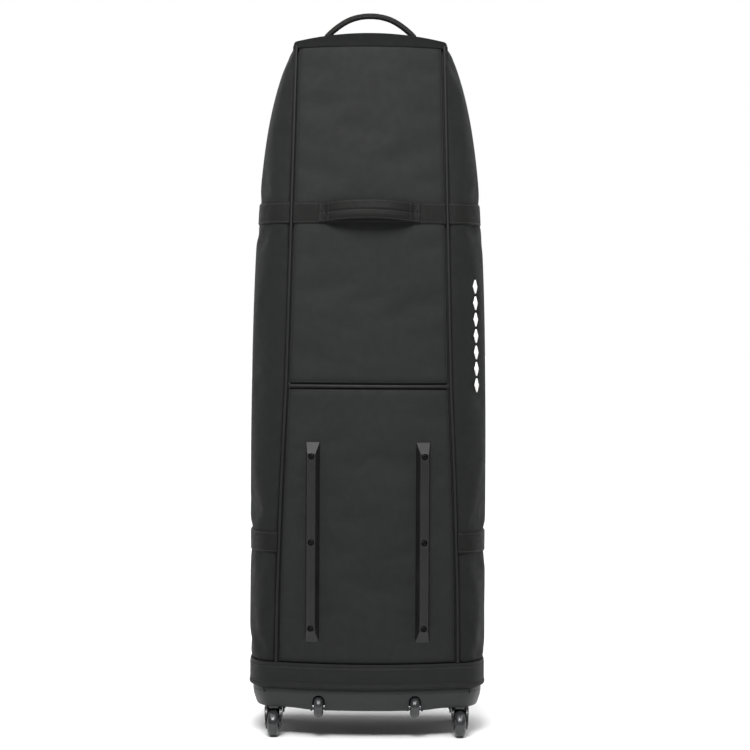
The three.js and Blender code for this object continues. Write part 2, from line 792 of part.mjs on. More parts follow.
function trayGeometry() {
  const skirt = cut(
    skirtBlock(skirtBottom, trayTop, 0),
    skirtBlock(skirtBottom - 1, deckUnder, trayWall),
  );
  const rimOut = -bandThickness / 2 - gap;
  const rim = cut(
    plate(deckUnder + 1, bandTop - rimDrop, rimOut),
    plate(trayTop, bandTop, rimOut - trayWall),
  );
  const sockets = casterPlaces.map(([, x, y]) =>
    rodZ(crownRadius, casterHeight + gap, deckUnder + 1, x, y),
  );
  const ribs = inlinePlaces.flatMap(([, x]) =>
    [-1, 1].map((side) => {
      const middle = x + (side * (inlineSlot + inlineRib)) / 2;
      return box(
        [middle - inlineRib / 2, rearFace(x, trayTop) + skirtLip + skirtTaper, inlineZ - ribDrop],
        [middle + inlineRib / 2, inlineY + inlineRadius, deckUnder + 1],
      );
    }),
  );
  const stems = casterPlaces.map(([, x, y]) =>
    rodZ(stemRadius + boreClearance, 0, deckUnder, x, y, 16),
  );
  const sweeps = casterPlaces.map(([, x, y]) =>
    rodZ(swivelReach + sweepClearance, 0, casterHeight + gap, x, y, 28),
  );
  const slots = inlinePlaces.map(([, x]) =>
    box(
      [x - inlineSlot / 2, rearPlane - 10, 0],
      [x + inlineSlot / 2, inlineY + inlineRadius + sweepClearance, inlineZ + inlineRadius + treadClearance],
    ),
  );
  const axleLength = inlineSlot + 2 * inlineRib + 4;
  const axleHoles = inlinePlaces.map(([, x]) => rodX(axleRadius + gap, axleLength, x, inlineY, inlineZ));
  return cut(join(skirt, rim, ...sockets, ...ribs), ...stems, ...sweeps, ...slots, ...axleHoles);
}
piece('base_tray', trayGeometry(), 'tray');

const band = sheet(
  outlineColumns,
  2,
  (u, v, face) => {
    const z = lerp(bandBottom, bandTop, v);
    const bulge = bandBulge * (1 - v) ** 2;
    return outlinePoint(u, trayTop, face ? bandThickness / 2 + bulge : -bandThickness / 2).setZ(z);
  },
  true,
);
piece('base_band', band, 'fabric');

const floorInset = -bandThickness / 2 - trayWall - floorClearance;
const floorBottom = trayTop + gap;
piece('floor_board', plate(floorBottom, floorBottom + floorThickness, floorInset), 'board');

// ---------------------------------------------------------------- wheels

const treadCrown = 2.6; // how far the tread falls from its middle to its shoulders

// A wheel about X with a bore and a rounded tread.
function wheelGeometry(radius, width) {
  const half = width / 2;
  const bore = axleRadius + boreClearance;
  const hub = half - 1;
  const profile = [
    [bore, -hub],
    [radius - treadCrown * 2, -half],
    [radius - treadCrown, -half * 0.8],
    [radius, -half * 0.25],
    [radius, half * 0.25],
    [radius - treadCrown, half * 0.8],
    [radius - treadCrown * 2, half],
    [bore, hub],
    [bore, -hub],
  ];
  const points = profile.map(([r, h]) => new THREE.Vector2(r, h));
  return new THREE.LatheGeometry(points, 20).rotateZ(-Math.PI / 2);
}

// The fork stands in its own frame: the stem is on Z and the axle is behind it.
function forkGeometry() {
  const ear = axleRadius + forkWall;
  const legFront = crownRadius - 7;
  const legBack = crownRadius - 2;
  const top = casterHeight - casterHood / 2;
  const legs = [-1, 1].map((side) => {
    const shape = new THREE.Shape();
    shape.moveTo(legFront, top);
    shape.lineTo(ear - casterTrail, casterRadius);
    shape.absarc(-casterTrail, casterRadius, ear, 0, -Math.PI, true);
    shape.lineTo(-legBack, top);
    shape.closePath();
    return acrossX(shape, forkWall).translate(side * (forkHalf - forkWall / 2), 0, 0);
  });
  const crown = rodZ(crownRadius, casterHeight - casterHood, casterHeight, 0, 0);
  const stem = rodZ(stemRadius, casterHeight - 1, deckUnder - treadClearance, 0, 0, 16);
  const bore = rodX(axleRadius + gap, 3 * forkHalf, 0, -casterTrail, casterRadius);
  return cut(join(crown, stem, ...legs), bore);
}

for (const [name, x, y] of casterPlaces) {
  const caster = new THREE.Group();
  caster.position.set(x, y, 0);
  travelCase.add(caster);
  piece(`caster_fork_${name}`, forkGeometry(), 'fork', caster);
  const axle = rodX(axleRadius, 2 * forkHalf, 0, 0, 0);
  for (const [part, geometry, finish] of [
    ['wheel', wheelGeometry(casterRadius, casterWidth), 'tyre'],
    ['axle', axle, 'axle'],
  ]) {
    const mesh = piece(`caster_${part}_${name}`, geometry, finish, caster);
    mesh.position.set(0, -casterTrail, casterRadius);
  }
}

for (const [name, x] of inlinePlaces) {
  const wheel = wheelGeometry(inlineRadius, inlineWidth);
  piece(`inline_wheel_${name}`, wheel, 'tyre').position.set(x, inlineY, inlineZ);
  const axle = rodX(axleRadius, inlineSlot + 2 * inlineRib, 0, 0, 0);
  piece(`inline_axle_${name}`, axle, 'axle').position.set(x, inlineY, inlineZ);
}

// ---------------------------------------------------------------- inner cinch strap

// The strap crosses the inside just behind the lid. Its left half ends in the buckle's
// socket, and its right half runs through the buckle's plug, behind the prongs.
// Its ends follow the gusset's inner face on the rounded front corner.
function strapEndX() {
  const corner = frontFace(strapHeight) - frontCorner;
  const reach = frontCorner - gussetThickness;
  const angle = Math.acos((strapY - corner) / reach);
  const zip = lidHalf(strapHeight) + zipSlot;
  return zip + (halfWidth(strapHeight) - gussetThickness - zip) * Math.sin(angle);
}

const strapEnd = strapEndX() - strapClearance;
const buckleWidth = webbingWidth + 2 * buckleSide;
const tongueY = -buckleDepth / 4;
const prongThickness = buckleDepth / 2 - socketWall;

const strapBox = (from, to, y, thickness, width) =>
  box(
    [from, strapY + y - thickness / 2, strapHeight - width / 2],
    [to, strapY + y + thickness / 2, strapHeight + width / 2],
  );

const socketCavity = strapBox(
  socketWall - femaleLength,
  1,
  tongueY,
  prongThickness + 1,
  buckleWidth - 2 * socketWall,
);
const socket = cut(strapBox(-femaleLength, 0, 0, buckleDepth, buckleWidth), socketCavity);
piece('buckle_socket', socket, 'fork');

const channelY = buckleDepth / 4;
const plugBody = cut(
  strapBox(gap, gap + maleLength, 0, buckleDepth, buckleWidth),
  strapBox(-1, maleLength + 2, channelY, webbingThickness + 1, webbingWidth + 1),
);
const prongs = [-1, 0, 1].map((place) => {
  const offset = place * (buckleWidth / 2 - socketWall - prongWidth / 2 - 0.5);
  const prong = strapBox(-tongueLength, gap + 1, tongueY, prongThickness, prongWidth);
  return prong.translate(0, 0, offset);
});
piece('buckle_plug', join(plugBody, ...prongs), 'fork');

piece(
  'strap_left',
  strapBox(-strapEnd, -femaleLength - gap, 0, webbingThickness, webbingWidth),
  'webbing',
);
piece(
  'strap_right',
  strapBox(maleLength / 2, strapEnd, channelY, webbingThickness, webbingWidth),
  'webbing',
);

export default travelCase;
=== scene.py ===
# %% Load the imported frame
import json
import math

import bmesh
import bpy
import numpy as np
from mathutils import Euler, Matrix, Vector


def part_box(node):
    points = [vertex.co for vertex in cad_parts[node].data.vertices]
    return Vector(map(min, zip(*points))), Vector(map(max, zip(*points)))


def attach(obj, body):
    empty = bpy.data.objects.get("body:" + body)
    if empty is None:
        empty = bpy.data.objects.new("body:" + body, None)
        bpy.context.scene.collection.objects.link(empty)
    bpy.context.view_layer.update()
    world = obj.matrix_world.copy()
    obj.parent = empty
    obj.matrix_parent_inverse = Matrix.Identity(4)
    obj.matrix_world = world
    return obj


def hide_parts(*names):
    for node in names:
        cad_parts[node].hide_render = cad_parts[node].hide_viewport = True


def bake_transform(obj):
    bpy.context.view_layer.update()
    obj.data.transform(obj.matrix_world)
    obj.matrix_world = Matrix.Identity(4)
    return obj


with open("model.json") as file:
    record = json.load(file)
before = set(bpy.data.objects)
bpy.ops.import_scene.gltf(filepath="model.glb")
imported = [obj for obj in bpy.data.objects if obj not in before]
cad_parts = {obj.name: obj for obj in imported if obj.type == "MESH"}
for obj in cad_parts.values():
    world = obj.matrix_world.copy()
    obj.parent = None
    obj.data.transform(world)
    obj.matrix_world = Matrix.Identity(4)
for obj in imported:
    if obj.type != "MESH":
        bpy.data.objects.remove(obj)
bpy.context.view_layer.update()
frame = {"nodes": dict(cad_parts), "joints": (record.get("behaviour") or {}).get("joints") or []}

scene = bpy.context.scene

# %% [markdown]
# ## Camera
# A product picture of a tall, slim object is taken from far away with a long lens, at about
# half its height, so that its uprights stay upright. The camera looks along +Y at the rail
# side and tips down by about a degree. It rolls a little, as a hand-levelled tripod does.

# %% Camera
CAMERA_PLACE = Vector((0.0117, -4.2, 0.745))
CAMERA_LENS = 107.7
CAMERA_SENSOR = 36.0
TIP_DOWN = math.radians(1.149)
ROLL = math.radians(0.33)

camera_data = bpy.data.cameras.new("camera")
camera_data.lens = CAMERA_LENS
camera_data.sensor_width = CAMERA_SENSOR
camera_data.clip_end = 200.0
camera = bpy.data.objects.new("camera", camera_data)
scene.collection.objects.link(camera)
camera.rotation_mode = "QUATERNION"
camera.location = CAMERA_PLACE
level = Euler((math.pi / 2 - TIP_DOWN, 0, 0)).to_quaternion()
camera.rotation_quaternion = level @ Euler((0, 0, ROLL)).to_quaternion()
scene.camera = camera
print("camera at", tuple(round(x, 3) for x in camera.location))

# %% [markdown]
# ## Floor and light
# A black object on white needs a bright surround and a darker side behind the camera. The
# world is therefore a gradient, bright behind the case and dimmer in front of it, and the
# camera itself sees plain white. A very soft sun from above keeps the whole floor white and
# leaves a real contact shadow. One broad lamp high up on the camera's side models the panels.

# %% Floor and light
AMBIENT_FRONT = 0.16
AMBIENT_BACK = 1.0
SUN_STRENGTH = 2.9
SUN_SOFTNESS = math.radians(75)
KEY_POWER = 24.5
KEY_PLACE = Vector((-0.25, -2.3, 2.7))
KEY_AIM = Vector((0.0, 0.0, 1.2))
KEY_SIZE = 1.1
KEY_SPREAD = math.radians(70)
FLOOR_HALF = 60.0


def surround_world():
    """White to the camera's eye, and a front to back gradient for what lights the case."""
    world = bpy.data.worlds.new("studio")
    world.use_nodes = True
    nodes, links = world.node_tree.nodes, world.node_tree.links
    background = nodes["Background"]
    background.inputs["Color"].default_value = (1, 1, 1, 1)
    place = nodes.new("ShaderNodeTexCoord")
    split = nodes.new("ShaderNodeSeparateXYZ")
    ramp = nodes.new("ShaderNodeMapRange")
    ramp.inputs["From Min"].default_value = -0.1
    ramp.inputs["From Max"].default_value = 0.9
    ramp.inputs["To Min"].default_value = AMBIENT_FRONT
    ramp.inputs["To Max"].default_value = AMBIENT_BACK
    sight = nodes.new("ShaderNodeLightPath")
    brighter = nodes.new("ShaderNodeMath")
    brighter.operation = "MAXIMUM"
    links.new(place.outputs["Generated"], split.inputs["Vector"])
    links.new(split.outputs["Y"], ramp.inputs["Value"])
    links.new(ramp.outputs["Result"], brighter.inputs[0])
    links.new(sight.outputs["Is Camera Ray"], brighter.inputs[1])
    links.new(brighter.outputs["Value"], background.inputs["Strength"])
    scene.world = world


def add_lamp(name, kind, power, place, aim, **settings):
    data = bpy.data.lights.new(name, kind)
    data.energy = power
    for setting, value in settings.items():
        setattr(data, setting, value)
    lamp = bpy.data.objects.new(name, data)
    scene.collection.objects.link(lamp)
    lamp.location = place
    lamp.rotation_mode = "QUATERNION"
    lamp.rotation_quaternion = (aim - place).to_track_quat("-Z", "Y")
    return lamp


surround_world()
add_lamp("sky", "SUN", SUN_STRENGTH, Vector((0, -0.8, 4)), Vector((0, 0, 0)), angle=SUN_SOFTNESS)
add_lamp("key", "AREA", KEY_POWER, KEY_PLACE, KEY_AIM, size=KEY_SIZE, spread=KEY_SPREAD)
scene.view_settings.view_transform = "Standard"

floor_mesh = bpy.data.meshes.new("floor")
floor_signs = ((-1, -1), (1, -1), (1, 1), (-1, 1))
floor_corners = [(x * FLOOR_HALF, y * FLOOR_HALF, 0) for x, y in floor_signs]
floor_mesh.from_pydata(floor_corners, [], [(0, 1, 2, 3)])
floor = bpy.data.objects.new("floor", floor_mesh)
scene.collection.objects.link(floor)
floor_paint = bpy.data.materials.new("floor paint")
floor_paint.use_nodes = True
floor_shader = floor_paint.node_tree.nodes["Principled BSDF"]
floor_shader.inputs["Base Color"].default_value = (0.9, 0.9, 0.9, 1)
floor_shader.inputs["Roughness"].default_value = 1.0
floor_shader.inputs["Specular IOR Level"].default_value = 0.0
floor_mesh.materials.append(floor_paint)
print("lights", len(bpy.data.lights), "on a floor", 2 * FLOOR_HALF, "m wide")

# %% [markdown]
# ## The pattern of the case
# A soft case is cut from flat panels, and each panel's edge is a line that its neighbour
# shares. So the outline is written once, as a few laws of height, and every panel, piping,
# zip and strap below reads its edges from them. The sizes are the frame's own.

# %% Sizes and the laws of the outline
GAP = 0.0003
SIDES = (("left", -1), ("right", 1))
CASE_WIDTH, CASE_DEPTH = 0.429, 0.300
SHOULDER, SHOULDER_DROP = 1.262, 0.022
REAR_RADIUS, REAR_LEAN, FRONT_LEAN = 0.475, 0.008, 0.042
TAPER_LONG, TAPER_SHOULDER = 0.022, 0.051
BELLY_DEPTH, FRONT_CORNER = 0.107, 0.060
CORNER_BASE, CORNER_SEAM, CORNER_TOP = 0.049, 0.065, 0.0075
ZIP_CORNER_BASE, ZIP_CORNER_TOP = 0.046, 0.010
GUSSET_WALL, PANEL_WALL, LID_WALL = 0.008, 0.010, 0.010
SEAM_HEIGHT, PIPING_RADIUS, ZIP_HALF = 0.643, 0.0032, 0.009
TRAY_TOP = 0.092
WALL_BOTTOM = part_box("gusset_left")[0].z
PIPING_SLOT, ZIP_SLOT = PIPING_RADIUS + GAP, ZIP_HALF + GAP
REAR_PLANE = 0.0027 - CASE_DEPTH / 2
FRONT_PLANE = REAR_PLANE + CASE_DEPTH
WEBBING_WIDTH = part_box("webbing_rear")[1].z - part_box("webbing_rear")[0].z
UPPER_WEBBING = (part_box("webbing_rear")[1].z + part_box("webbing_rear")[0].z) / 2
LOWER_WEBBING = (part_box("webbing_lower_left")[1].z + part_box("webbing_lower_left")[0].z) / 2


def mixed(a, b, share):
    return a + (b - a) * share


def stacked(x, y, z):
    return np.stack(np.broadcast_arrays(x, y, z), axis=-1).astype(float)


def rise(z):
    return np.maximum(0, (np.asarray(z, float) - TRAY_TOP) / (SHOULDER - TRAY_TOP))


def half_width(z):
    return CASE_WIDTH / 2 - TAPER_LONG * rise(z) ** 3 - TAPER_SHOULDER * rise(z) ** 9


TOP_HALF = float(half_width(SHOULDER))


def panel_half(z):
    """Half the distance between the two rear pipings."""
    z = np.asarray(z, float)
    seam, base = CASE_WIDTH / 2 - CORNER_SEAM, CASE_WIDTH / 2 - CORNER_BASE
    below = np.clip((SEAM_HEIGHT - z) / (SEAM_HEIGHT - TRAY_TOP), 0, 1)
    above = np.maximum(0, (z - SEAM_HEIGHT) / (SHOULDER - SEAM_HEIGHT))
    lower = mixed(seam, base, np.sin(below * math.pi / 2))
    return np.where(z < SEAM_HEIGHT, lower, mixed(seam, TOP_HALF - CORNER_TOP, above))


def lid_half(z):
    return mixed(CASE_WIDTH / 2 - ZIP_CORNER_BASE, TOP_HALF - ZIP_CORNER_TOP, rise(z))


def rear_face(x, z):
    return REAR_PLANE + REAR_LEAN * rise(z) ** 4 + REAR_RADIUS - np.sqrt(REAR_RADIUS**2 - x**2)


def front_face(z):
    return FRONT_PLANE - FRONT_LEAN * rise(z) ** 2.5


def wall_top(y):
    return SHOULDER - SHOULDER_DROP * (y - REAR_PLANE) / CASE_DEPTH


def gusset_point(along, z, out=0.0):
    """The right side wall, from the piping at along 0 to the zip at along 1."""
    share = 0.4
    pipe, zip_edge = panel_half(z) + PIPING_SLOT, lid_half(z) + ZIP_SLOT
    wide, rear = half_width(z) + out, rear_face(panel_half(z), z) - out
    belly, front = rear_face(0 * along, z) + BELLY_DEPTH, front_face(z) + out
    shoulder = front_face(z) - FRONT_CORNER
    back_turn = np.clip(along / share, 0, 1) * math.pi / 2
    front_turn = np.clip((1 - along) / share, 0, 1) * math.pi / 2
    middle = np.clip((along - share) / (1 - 2 * share), 0, 1)
    x = np.where(
        along < share,
        pipe + (wide - pipe) * np.sin(back_turn),
        zip_edge + (wide - zip_edge) * np.sin(front_turn),
    )
    y = mixed(belly, shoulder, middle)
    y = np.where(along < share, belly - (belly - rear) * np.cos(back_turn), y)
    y = np.where(along > 1 - share, shoulder + (front - shoulder) * np.cos(front_turn), y)
    return stacked(x, y, z)


def outline_point(around, z, out=0.0):
    """Once round the case, a quarter each for the rear, right side, front and left side."""
    around = np.asarray(around, float) % 1.0
    part = around * 4 - np.floor(around * 4)
    quarter = np.floor(around * 4).astype(int)
    rear_x = (2 * part - 1) * (panel_half(z) + PIPING_SLOT)
    rear = stacked(rear_x, rear_face(rear_x, z) - out, z)
    front = stacked((1 - 2 * part) * (lid_half(z) + ZIP_SLOT), front_face(z) + out, z)
    right = gusset_point(part, z, out)
    left = gusset_point(1 - part, z, out) * (-1, 1, 1)
    quarter = quarter[..., None] + 0 * rear.astype(int)
    return np.select([quarter == 0, quarter == 1, quarter == 2], [rear, right, front], left)


print("gusset law", gusset_point(np.array([0.0, 0.5, 1.0]), 0.6).round(4).tolist())

# %% [markdown]
# ## Finishes
# Every cloth reads a UV map whose unit is a metre of cloth, so a weave keeps its thread count
# on every panel. Moulded and metal pieces read Object coordinates, which are also metres.
# A weave is two crossed bands that take turns by a checker, as warp and weft do. Plastic
# gets a fine grain in its bump and faint patches in its gloss from handling.

# %% Finishes: shared helpers
WAVE_PERIOD = 0.314  # a wave texture of scale 1 repeats after this many units
CLOTH_MAP = "cloth"


class Finish:
    """A Principled material under construction, with short calls for the usual nodes."""

    def __init__(self, name, cloth=False):
        self.material = bpy.data.materials.new(name)
        self.material.use_nodes = True
        self.nodes = self.material.node_tree.nodes
        self.links = self.material.node_tree.links
        self.shader = self.nodes["Principled BSDF"]
        if cloth:
            source = self.nodes.new("ShaderNodeUVMap")
            source.uv_map = CLOTH_MAP
            self.place = source.outputs["UV"]
        else:
            self.place = self.nodes.new("ShaderNodeTexCoord").outputs["Object"]

    def set(self, **values):
        for socket, value in values.items():
            self.shader.inputs[socket.replace("_", " ")].default_value = value
        return self

    def noise(self, scale, detail=3.0, rough=0.5, stretch=None):
        node = self.nodes.new("ShaderNodeTexNoise")
        node.inputs["Scale"].default_value = scale
        node.inputs["Detail"].default_value = detail
        node.inputs["Roughness"].default_value = rough
        place = self.place
        if stretch:
            mapping = self.nodes.new("ShaderNodeMapping")
            mapping.inputs["Scale"].default_value = stretch
            self.links.new(place, mapping.inputs["Vector"])
            place = mapping.outputs["Vector"]
        self.links.new(place, node.inputs["Vector"])
        return node.outputs["Fac"]

    def bands(self, period, direction):
        node = self.nodes.new("ShaderNodeTexWave")
        node.wave_type = "BANDS"
        node.bands_direction = direction
        node.inputs["Scale"].default_value = WAVE_PERIOD / period
        self.links.new(self.place, node.inputs["Vector"])
        return node.outputs["Fac"]

    def math(self, operation, a, b):
        node = self.nodes.new("ShaderNodeMath")
        node.operation = operation
        for socket, value in zip(node.inputs, (a, b)):
            if isinstance(value, (int, float)):
                socket.default_value = value
            else:
                self.links.new(value, socket)
        return node.outputs["Value"]

    def weave(self, period):
        checker = self.nodes.new("ShaderNodeTexChecker")
        checker.inputs["Scale"].default_value = 1 / period
        self.links.new(self.place, checker.inputs["Vector"])
        mix = self.nodes.new("ShaderNodeMix")
        self.links.new(checker.outputs["Fac"], mix.inputs[0])
        self.links.new(self.bands(period, "X"), mix.inputs[2])
        self.links.new(self.bands(period, "Y"), mix.inputs[3])
        return mix.outputs[0]

    def spread(self, factor, low, high):
        """Turns a 0 to 1 factor into a number between two values."""
        node = self.nodes.new("ShaderNodeMapRange")
        node.inputs["From Min"].default_value = 0.3
        node.inputs["From Max"].default_value = 0.7
        node.inputs["To Min"].default_value = low
        node.inputs["To Max"].default_value = high
        self.links.new(factor, node.inputs["Value"])
        return node.outputs["Result"]

    def colour(self, factor, dark, light):
        ramp = self.nodes.new("ShaderNodeValToRGB")
        ramp.color_ramp.elements[0].position = 0.3
        ramp.color_ramp.elements[1].position = 0.7
        ramp.color_ramp.elements[0].color = (*dark, 1)
        ramp.color_ramp.elements[1].color = (*light, 1)
        self.links.new(factor, ramp.inputs["Fac"])
        self.links.new(ramp.outputs["Color"], self.shader.inputs["Base Color"])
        return self

    def rough(self, factor, low, high):
        self.links.new(self.spread(factor, low, high), self.shader.inputs["Roughness"])
        return self

    def bump(self, height, distance, strength=1.0):
        node = self.nodes.new("ShaderNodeBump")
        node.inputs["Distance"].default_value = distance
        node.inputs["Strength"].default_value = strength
        previous = self.shader.inputs["Normal"].links
        if previous:
            self.links.new(previous[0].from_socket, node.inputs["Normal"])
        self.links.new(height, node.inputs["Height"])
        self.links.new(node.outputs["Normal"], self.shader.inputs["Normal"])
        return self


def grey(value, warm=0.0):
    """A near grey, with a little warmth or, below zero, coolness."""
    return (value * (1 + warm), value, value * (1 - warm))


print("a shell grey with coolness", grey(0.0112, -0.03))


# %% Finishes: cloth
def cloth_finish(name, base, period, depth, rough, specular, warm=-0.03, patch=0.12):
    """Woven polyester: thread relief, faint shade patches and a soft sheen."""
    finish = Finish(name, cloth=True)
    patches = finish.noise(7.0, 4.0, 0.55)
    thread = finish.weave(period)
    woven = finish.math("MULTIPLY", thread, 0.35)
    worn = finish.math("MULTIPLY", patches, 0.65)
    shade = finish.math("ADD", woven, worn)
    finish.colour(shade, grey(base * (1 - patch), warm), grey(base * (1 + patch), warm))
    finish.rough(finish.noise(60.0, 2.0), rough - 0.06, rough + 0.06)
    finish.bump(thread, depth, 0.6)
    finish.bump(finish.noise(38.0, 3.0, 0.6), 0.0004, 0.35)
    finish.set(Specular_IOR_Level=specular, Sheen_Weight=0.02, Sheen_Roughness=0.5)
    return finish.material


def webbing_finish(name, base):
    """Flat webbing: cross ribs, a herringbone of warp ends and slightly shiny yarn."""
    finish = Finish(name, cloth=True)
    ribs = finish.bands(0.0022, "X")
    ends = finish.bands(0.0014, "Y")
    height = finish.math("MULTIPLY", ribs, finish.math("ADD", finish.math("MULTIPLY", ends, 0.5), 0.5))
    finish.colour(height, grey(base * 0.72, 0.03), grey(base * 1.25, 0.03))
    finish.rough(finish.noise(90.0, 2.0), 0.52, 0.68)
    finish.bump(height, 0.0005, 0.8)
    finish.set(Specular_IOR_Level=0.14, Sheen_Weight=0.01)
    return finish.material


def cord_finish(name, base):
    """The piping's bias-cut cover: a diagonal twill pulled tight round a cord."""
    finish = Finish(name, cloth=True)
    twill = finish.bands(0.0016, "DIAGONAL")
    finish.colour(finish.noise(30.0, 3.0), grey(base * 0.8), grey(base * 1.2))
    finish.rough(finish.noise(80.0), 0.45, 0.6)
    finish.bump(twill, 0.0003, 0.6)
    finish.set(Specular_IOR_Level=0.22)
    return finish.material


shell_cloth = cloth_finish("shell cloth", 0.0112, 0.0013, 0.00022, 0.74, 0.16)
band_cloth = cloth_finish("band cloth", 0.0092, 0.0011, 0.0002, 0.68, 0.16)
# The side cloth is the shell cloth made darker: painted shade for the gussets, which turn away from the
# light.
side_cloth_with_painted_shade = cloth_finish("side cloth", 0.0085, 0.0013, 0.00022, 0.74, 0.13)
# The cap cloth is the shell cloth made much darker: painted shade for the cap, whose wall rolls over away
# from the light.
cap_cloth_with_painted_shade = cloth_finish("cap cloth", 0.0052, 0.0013, 0.00022, 0.76, 0.10)
lining_cloth = cloth_finish("lining cloth", 0.055, 0.0009, 0.00012, 0.78, 0.25, warm=0.0, patch=0.08)
tape_cloth = cloth_finish("zip tape cloth", 0.012, 0.0010, 0.0002, 0.7, 0.25)
strap_webbing = webbing_finish("strap webbing", 0.0058)
piping_cover = cord_finish("piping cover", 0.0060)
print("cloth finishes made")

# %% Finishes: plastic, rubber, metal and thread
def moulded_finish(name, base, rough, grain, relief, warm=0.0, **extra):
    """Injection-moulded plastic: a spark-eroded grain, and gloss that handling has varied."""
    finish = Finish(name)
    handled = finish.noise(22.0, 4.0, 0.6)
    finish.colour(handled, grey(base * 0.88, warm), grey(base * 1.12, warm))
    finish.rough(handled, rough - 0.05, rough + 0.07)
    finish.bump(finish.noise(grain, 2.0, 0.6), relief, 0.5)
    finish.set(**extra)
    return finish.material


def brushed_finish(name, base, rough, stretch):
    """Drawn or barrel-finished metal: fine lines along one way and a few dull spots."""
    finish = Finish(name)
    lines = finish.noise(900.0, 2.0, 0.5, stretch)
    finish.colour(finish.noise(70.0, 3.0), grey(base * 0.85), grey(base * 1.1))
    finish.rough(lines, rough - 0.06, rough + 0.08)
    finish.bump(lines, 0.00008, 0.5)
    finish.set(Metallic=1.0)
    return finish.material


def thread_finish(name, base, warm=0.0):
    """Bonded sewing thread: a fine twist and a silky gloss."""
    finish = Finish(name)
    twist = finish.noise(2600.0, 1.0)
    finish.colour(twist, grey(base * 0.8, warm), grey(base * 1.2, warm))
    finish.rough(twist, 0.4, 0.55)
    finish.bump(twist, 0.00008, 0.5)
    return finish.material


tray_plastic = moulded_finish("tray plastic", 0.0155, 0.46, 1500.0, 0.0002, -0.04, Specular_IOR_Level=0.3)
rail_plastic = moulded_finish("rail plastic", 0.0062, 0.36, 1800.0, 0.00012, 0.0, Specular_IOR_Level=0.35)
fork_plastic = moulded_finish("fork plastic", 0.007, 0.2, 700.0, 0.00005, 0.0, Specular_IOR_Level=0.55)
buckle_plastic = moulded_finish("buckle plastic", 0.010, 0.34, 900.0, 0.0001, 0.0, Specular_IOR_Level=0.5)
tread_rubber = moulded_finish("tread rubber", 0.022, 0.25, 260.0, 0.00012, -0.05, Specular_IOR_Level=0.55)
# The stud rubber is darker than the tray: partly the rubber's own colour, partly painted shade for the
# dark underside of the tray's sides.
stud_rubber_and_painted_shade = moulded_finish("stud rubber", 0.008, 0.5, 600.0, 0.0001)
board_sheet = moulded_finish("board sheet", 0.065, 0.55, 420.0, 0.0003)
screw_coating = moulded_finish("screw coating", 0.0018, 0.5, 900.0, 0.00004, Specular_IOR_Level=0.12)
pin_coating = brushed_finish("pin coating", 0.05, 0.35, (0.05, 1.0, 1.0))
axle_steel = brushed_finish("axle steel", 0.18, 0.25, (0.05, 1.0, 1.0))
gunmetal = brushed_finish("gunmetal", 0.13, 0.3, (0.1, 1.0, 1.0))
coil_nylon = moulded_finish("coil nylon", 0.012, 0.35, 900.0, 0.00005)
black_thread = thread_finish("black thread", 0.022)
white_thread = thread_finish("white thread", 0.8, 0.01)
print("materials", len(bpy.data.materials))

# %% [markdown]
# ## Making meshes
# Most pieces here are grids of points worked out by the outline's laws, so one helper turns
# points and faces into an object, with the cloth map, clean normals and a sharp-edge angle.
# A wall is two grids, outer and inner, joined round their edge. Tubes and lathed pieces use
# the same helper.

# %% Mesh helpers
BOX_FACES = [(0, 3, 2, 1), (4, 5, 6, 7), (0, 1, 5, 4), (1, 2, 6, 5), (2, 3, 7, 6), (3, 0, 4, 7)]


def linked(name, data):
    obj = bpy.data.objects.new(name, data)
    scene.collection.objects.link(obj)
    return obj


def plain(obj):
    """Keeps what the modifiers made as the object's own mesh, and removes them."""
    graph = bpy.context.evaluated_depsgraph_get()
    kept = bpy.data.meshes.new_from_object(obj.evaluated_get(graph))
    obj.modifiers.clear()
    obj.data = kept
    return obj


def make(name, points, faces, materials, cloth=None, which=None, sharp=40.0):
    """An object at the origin from points, faces and, if given, one cloth place per point."""
    mesh = bpy.data.meshes.new(name)
    mesh.from_pydata([tuple(p) for p in np.asarray(points, float).reshape(-1, 3)], [], faces)
    if cloth is not None:
        layer = mesh.uv_layers.new(name=CLOTH_MAP)
        corner = np.empty(len(mesh.loops), int)
        mesh.loops.foreach_get("vertex_index", corner)
        layer.data.foreach_set("uv", np.asarray(cloth, float).reshape(-1, 2)[corner].ravel())
    for material in materials if isinstance(materials, (list, tuple)) else [materials]:
        mesh.materials.append(material)
    if which is not None:
        mesh.polygons.foreach_set("material_index", which)
    shape = bmesh.new()
    shape.from_mesh(mesh)
    bmesh.ops.remove_doubles(shape, verts=shape.verts, dist=1e-6)
    bmesh.ops.recalc_face_normals(shape, faces=shape.faces)
    shape.to_mesh(mesh)
    shape.free()
    mesh.shade_smooth()
    mesh.set_sharp_from_angle(angle=math.radians(sharp))
    return linked(name, mesh)


def place(obj, body, slot, *nodes):
    """Rides the piece on its body and hides the nodes it stands for; slot is not used."""
    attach(obj, body)
    if nodes:
        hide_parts(*nodes)
    return obj


def shares(columns, rows):
    return np.meshgrid(np.linspace(0, 1, columns + 1), np.linspace(0, 1, rows + 1))


def run_lengths(points, axis):
    """How far each grid point is along its row or column, measured on the surface."""
    step = np.linalg.norm(np.diff(points, axis=axis), axis=-1)
    start = np.zeros_like(np.take(step, [0], axis=axis))
    return np.cumsum(np.concatenate([start, step], axis=axis), axis=axis)


def grid_normals(points, inside):
    """Unit normals of a grid, pointing away from a point inside the case."""
    across, along = np.gradient(points, axis=1), np.gradient(points, axis=0)
    normal = np.cross(across, along)
    normal /= np.maximum(np.linalg.norm(normal, axis=-1, keepdims=True), 1e-12)
    return normal if np.mean(np.sum(normal * (points - np.asarray(inside)), axis=-1)) > 0 else -normal


def edge_distance(points, loose_top=False):
    """How far each grid point is from the nearest sewn edge of its panel."""
    across, along = run_lengths(points, 1), run_lengths(points, 0)
    edges = [across, across[:, -1:] - across, along]
    if not loose_top:
        edges.append(along[-1:] - along)
    return np.minimum.reduce(edges)


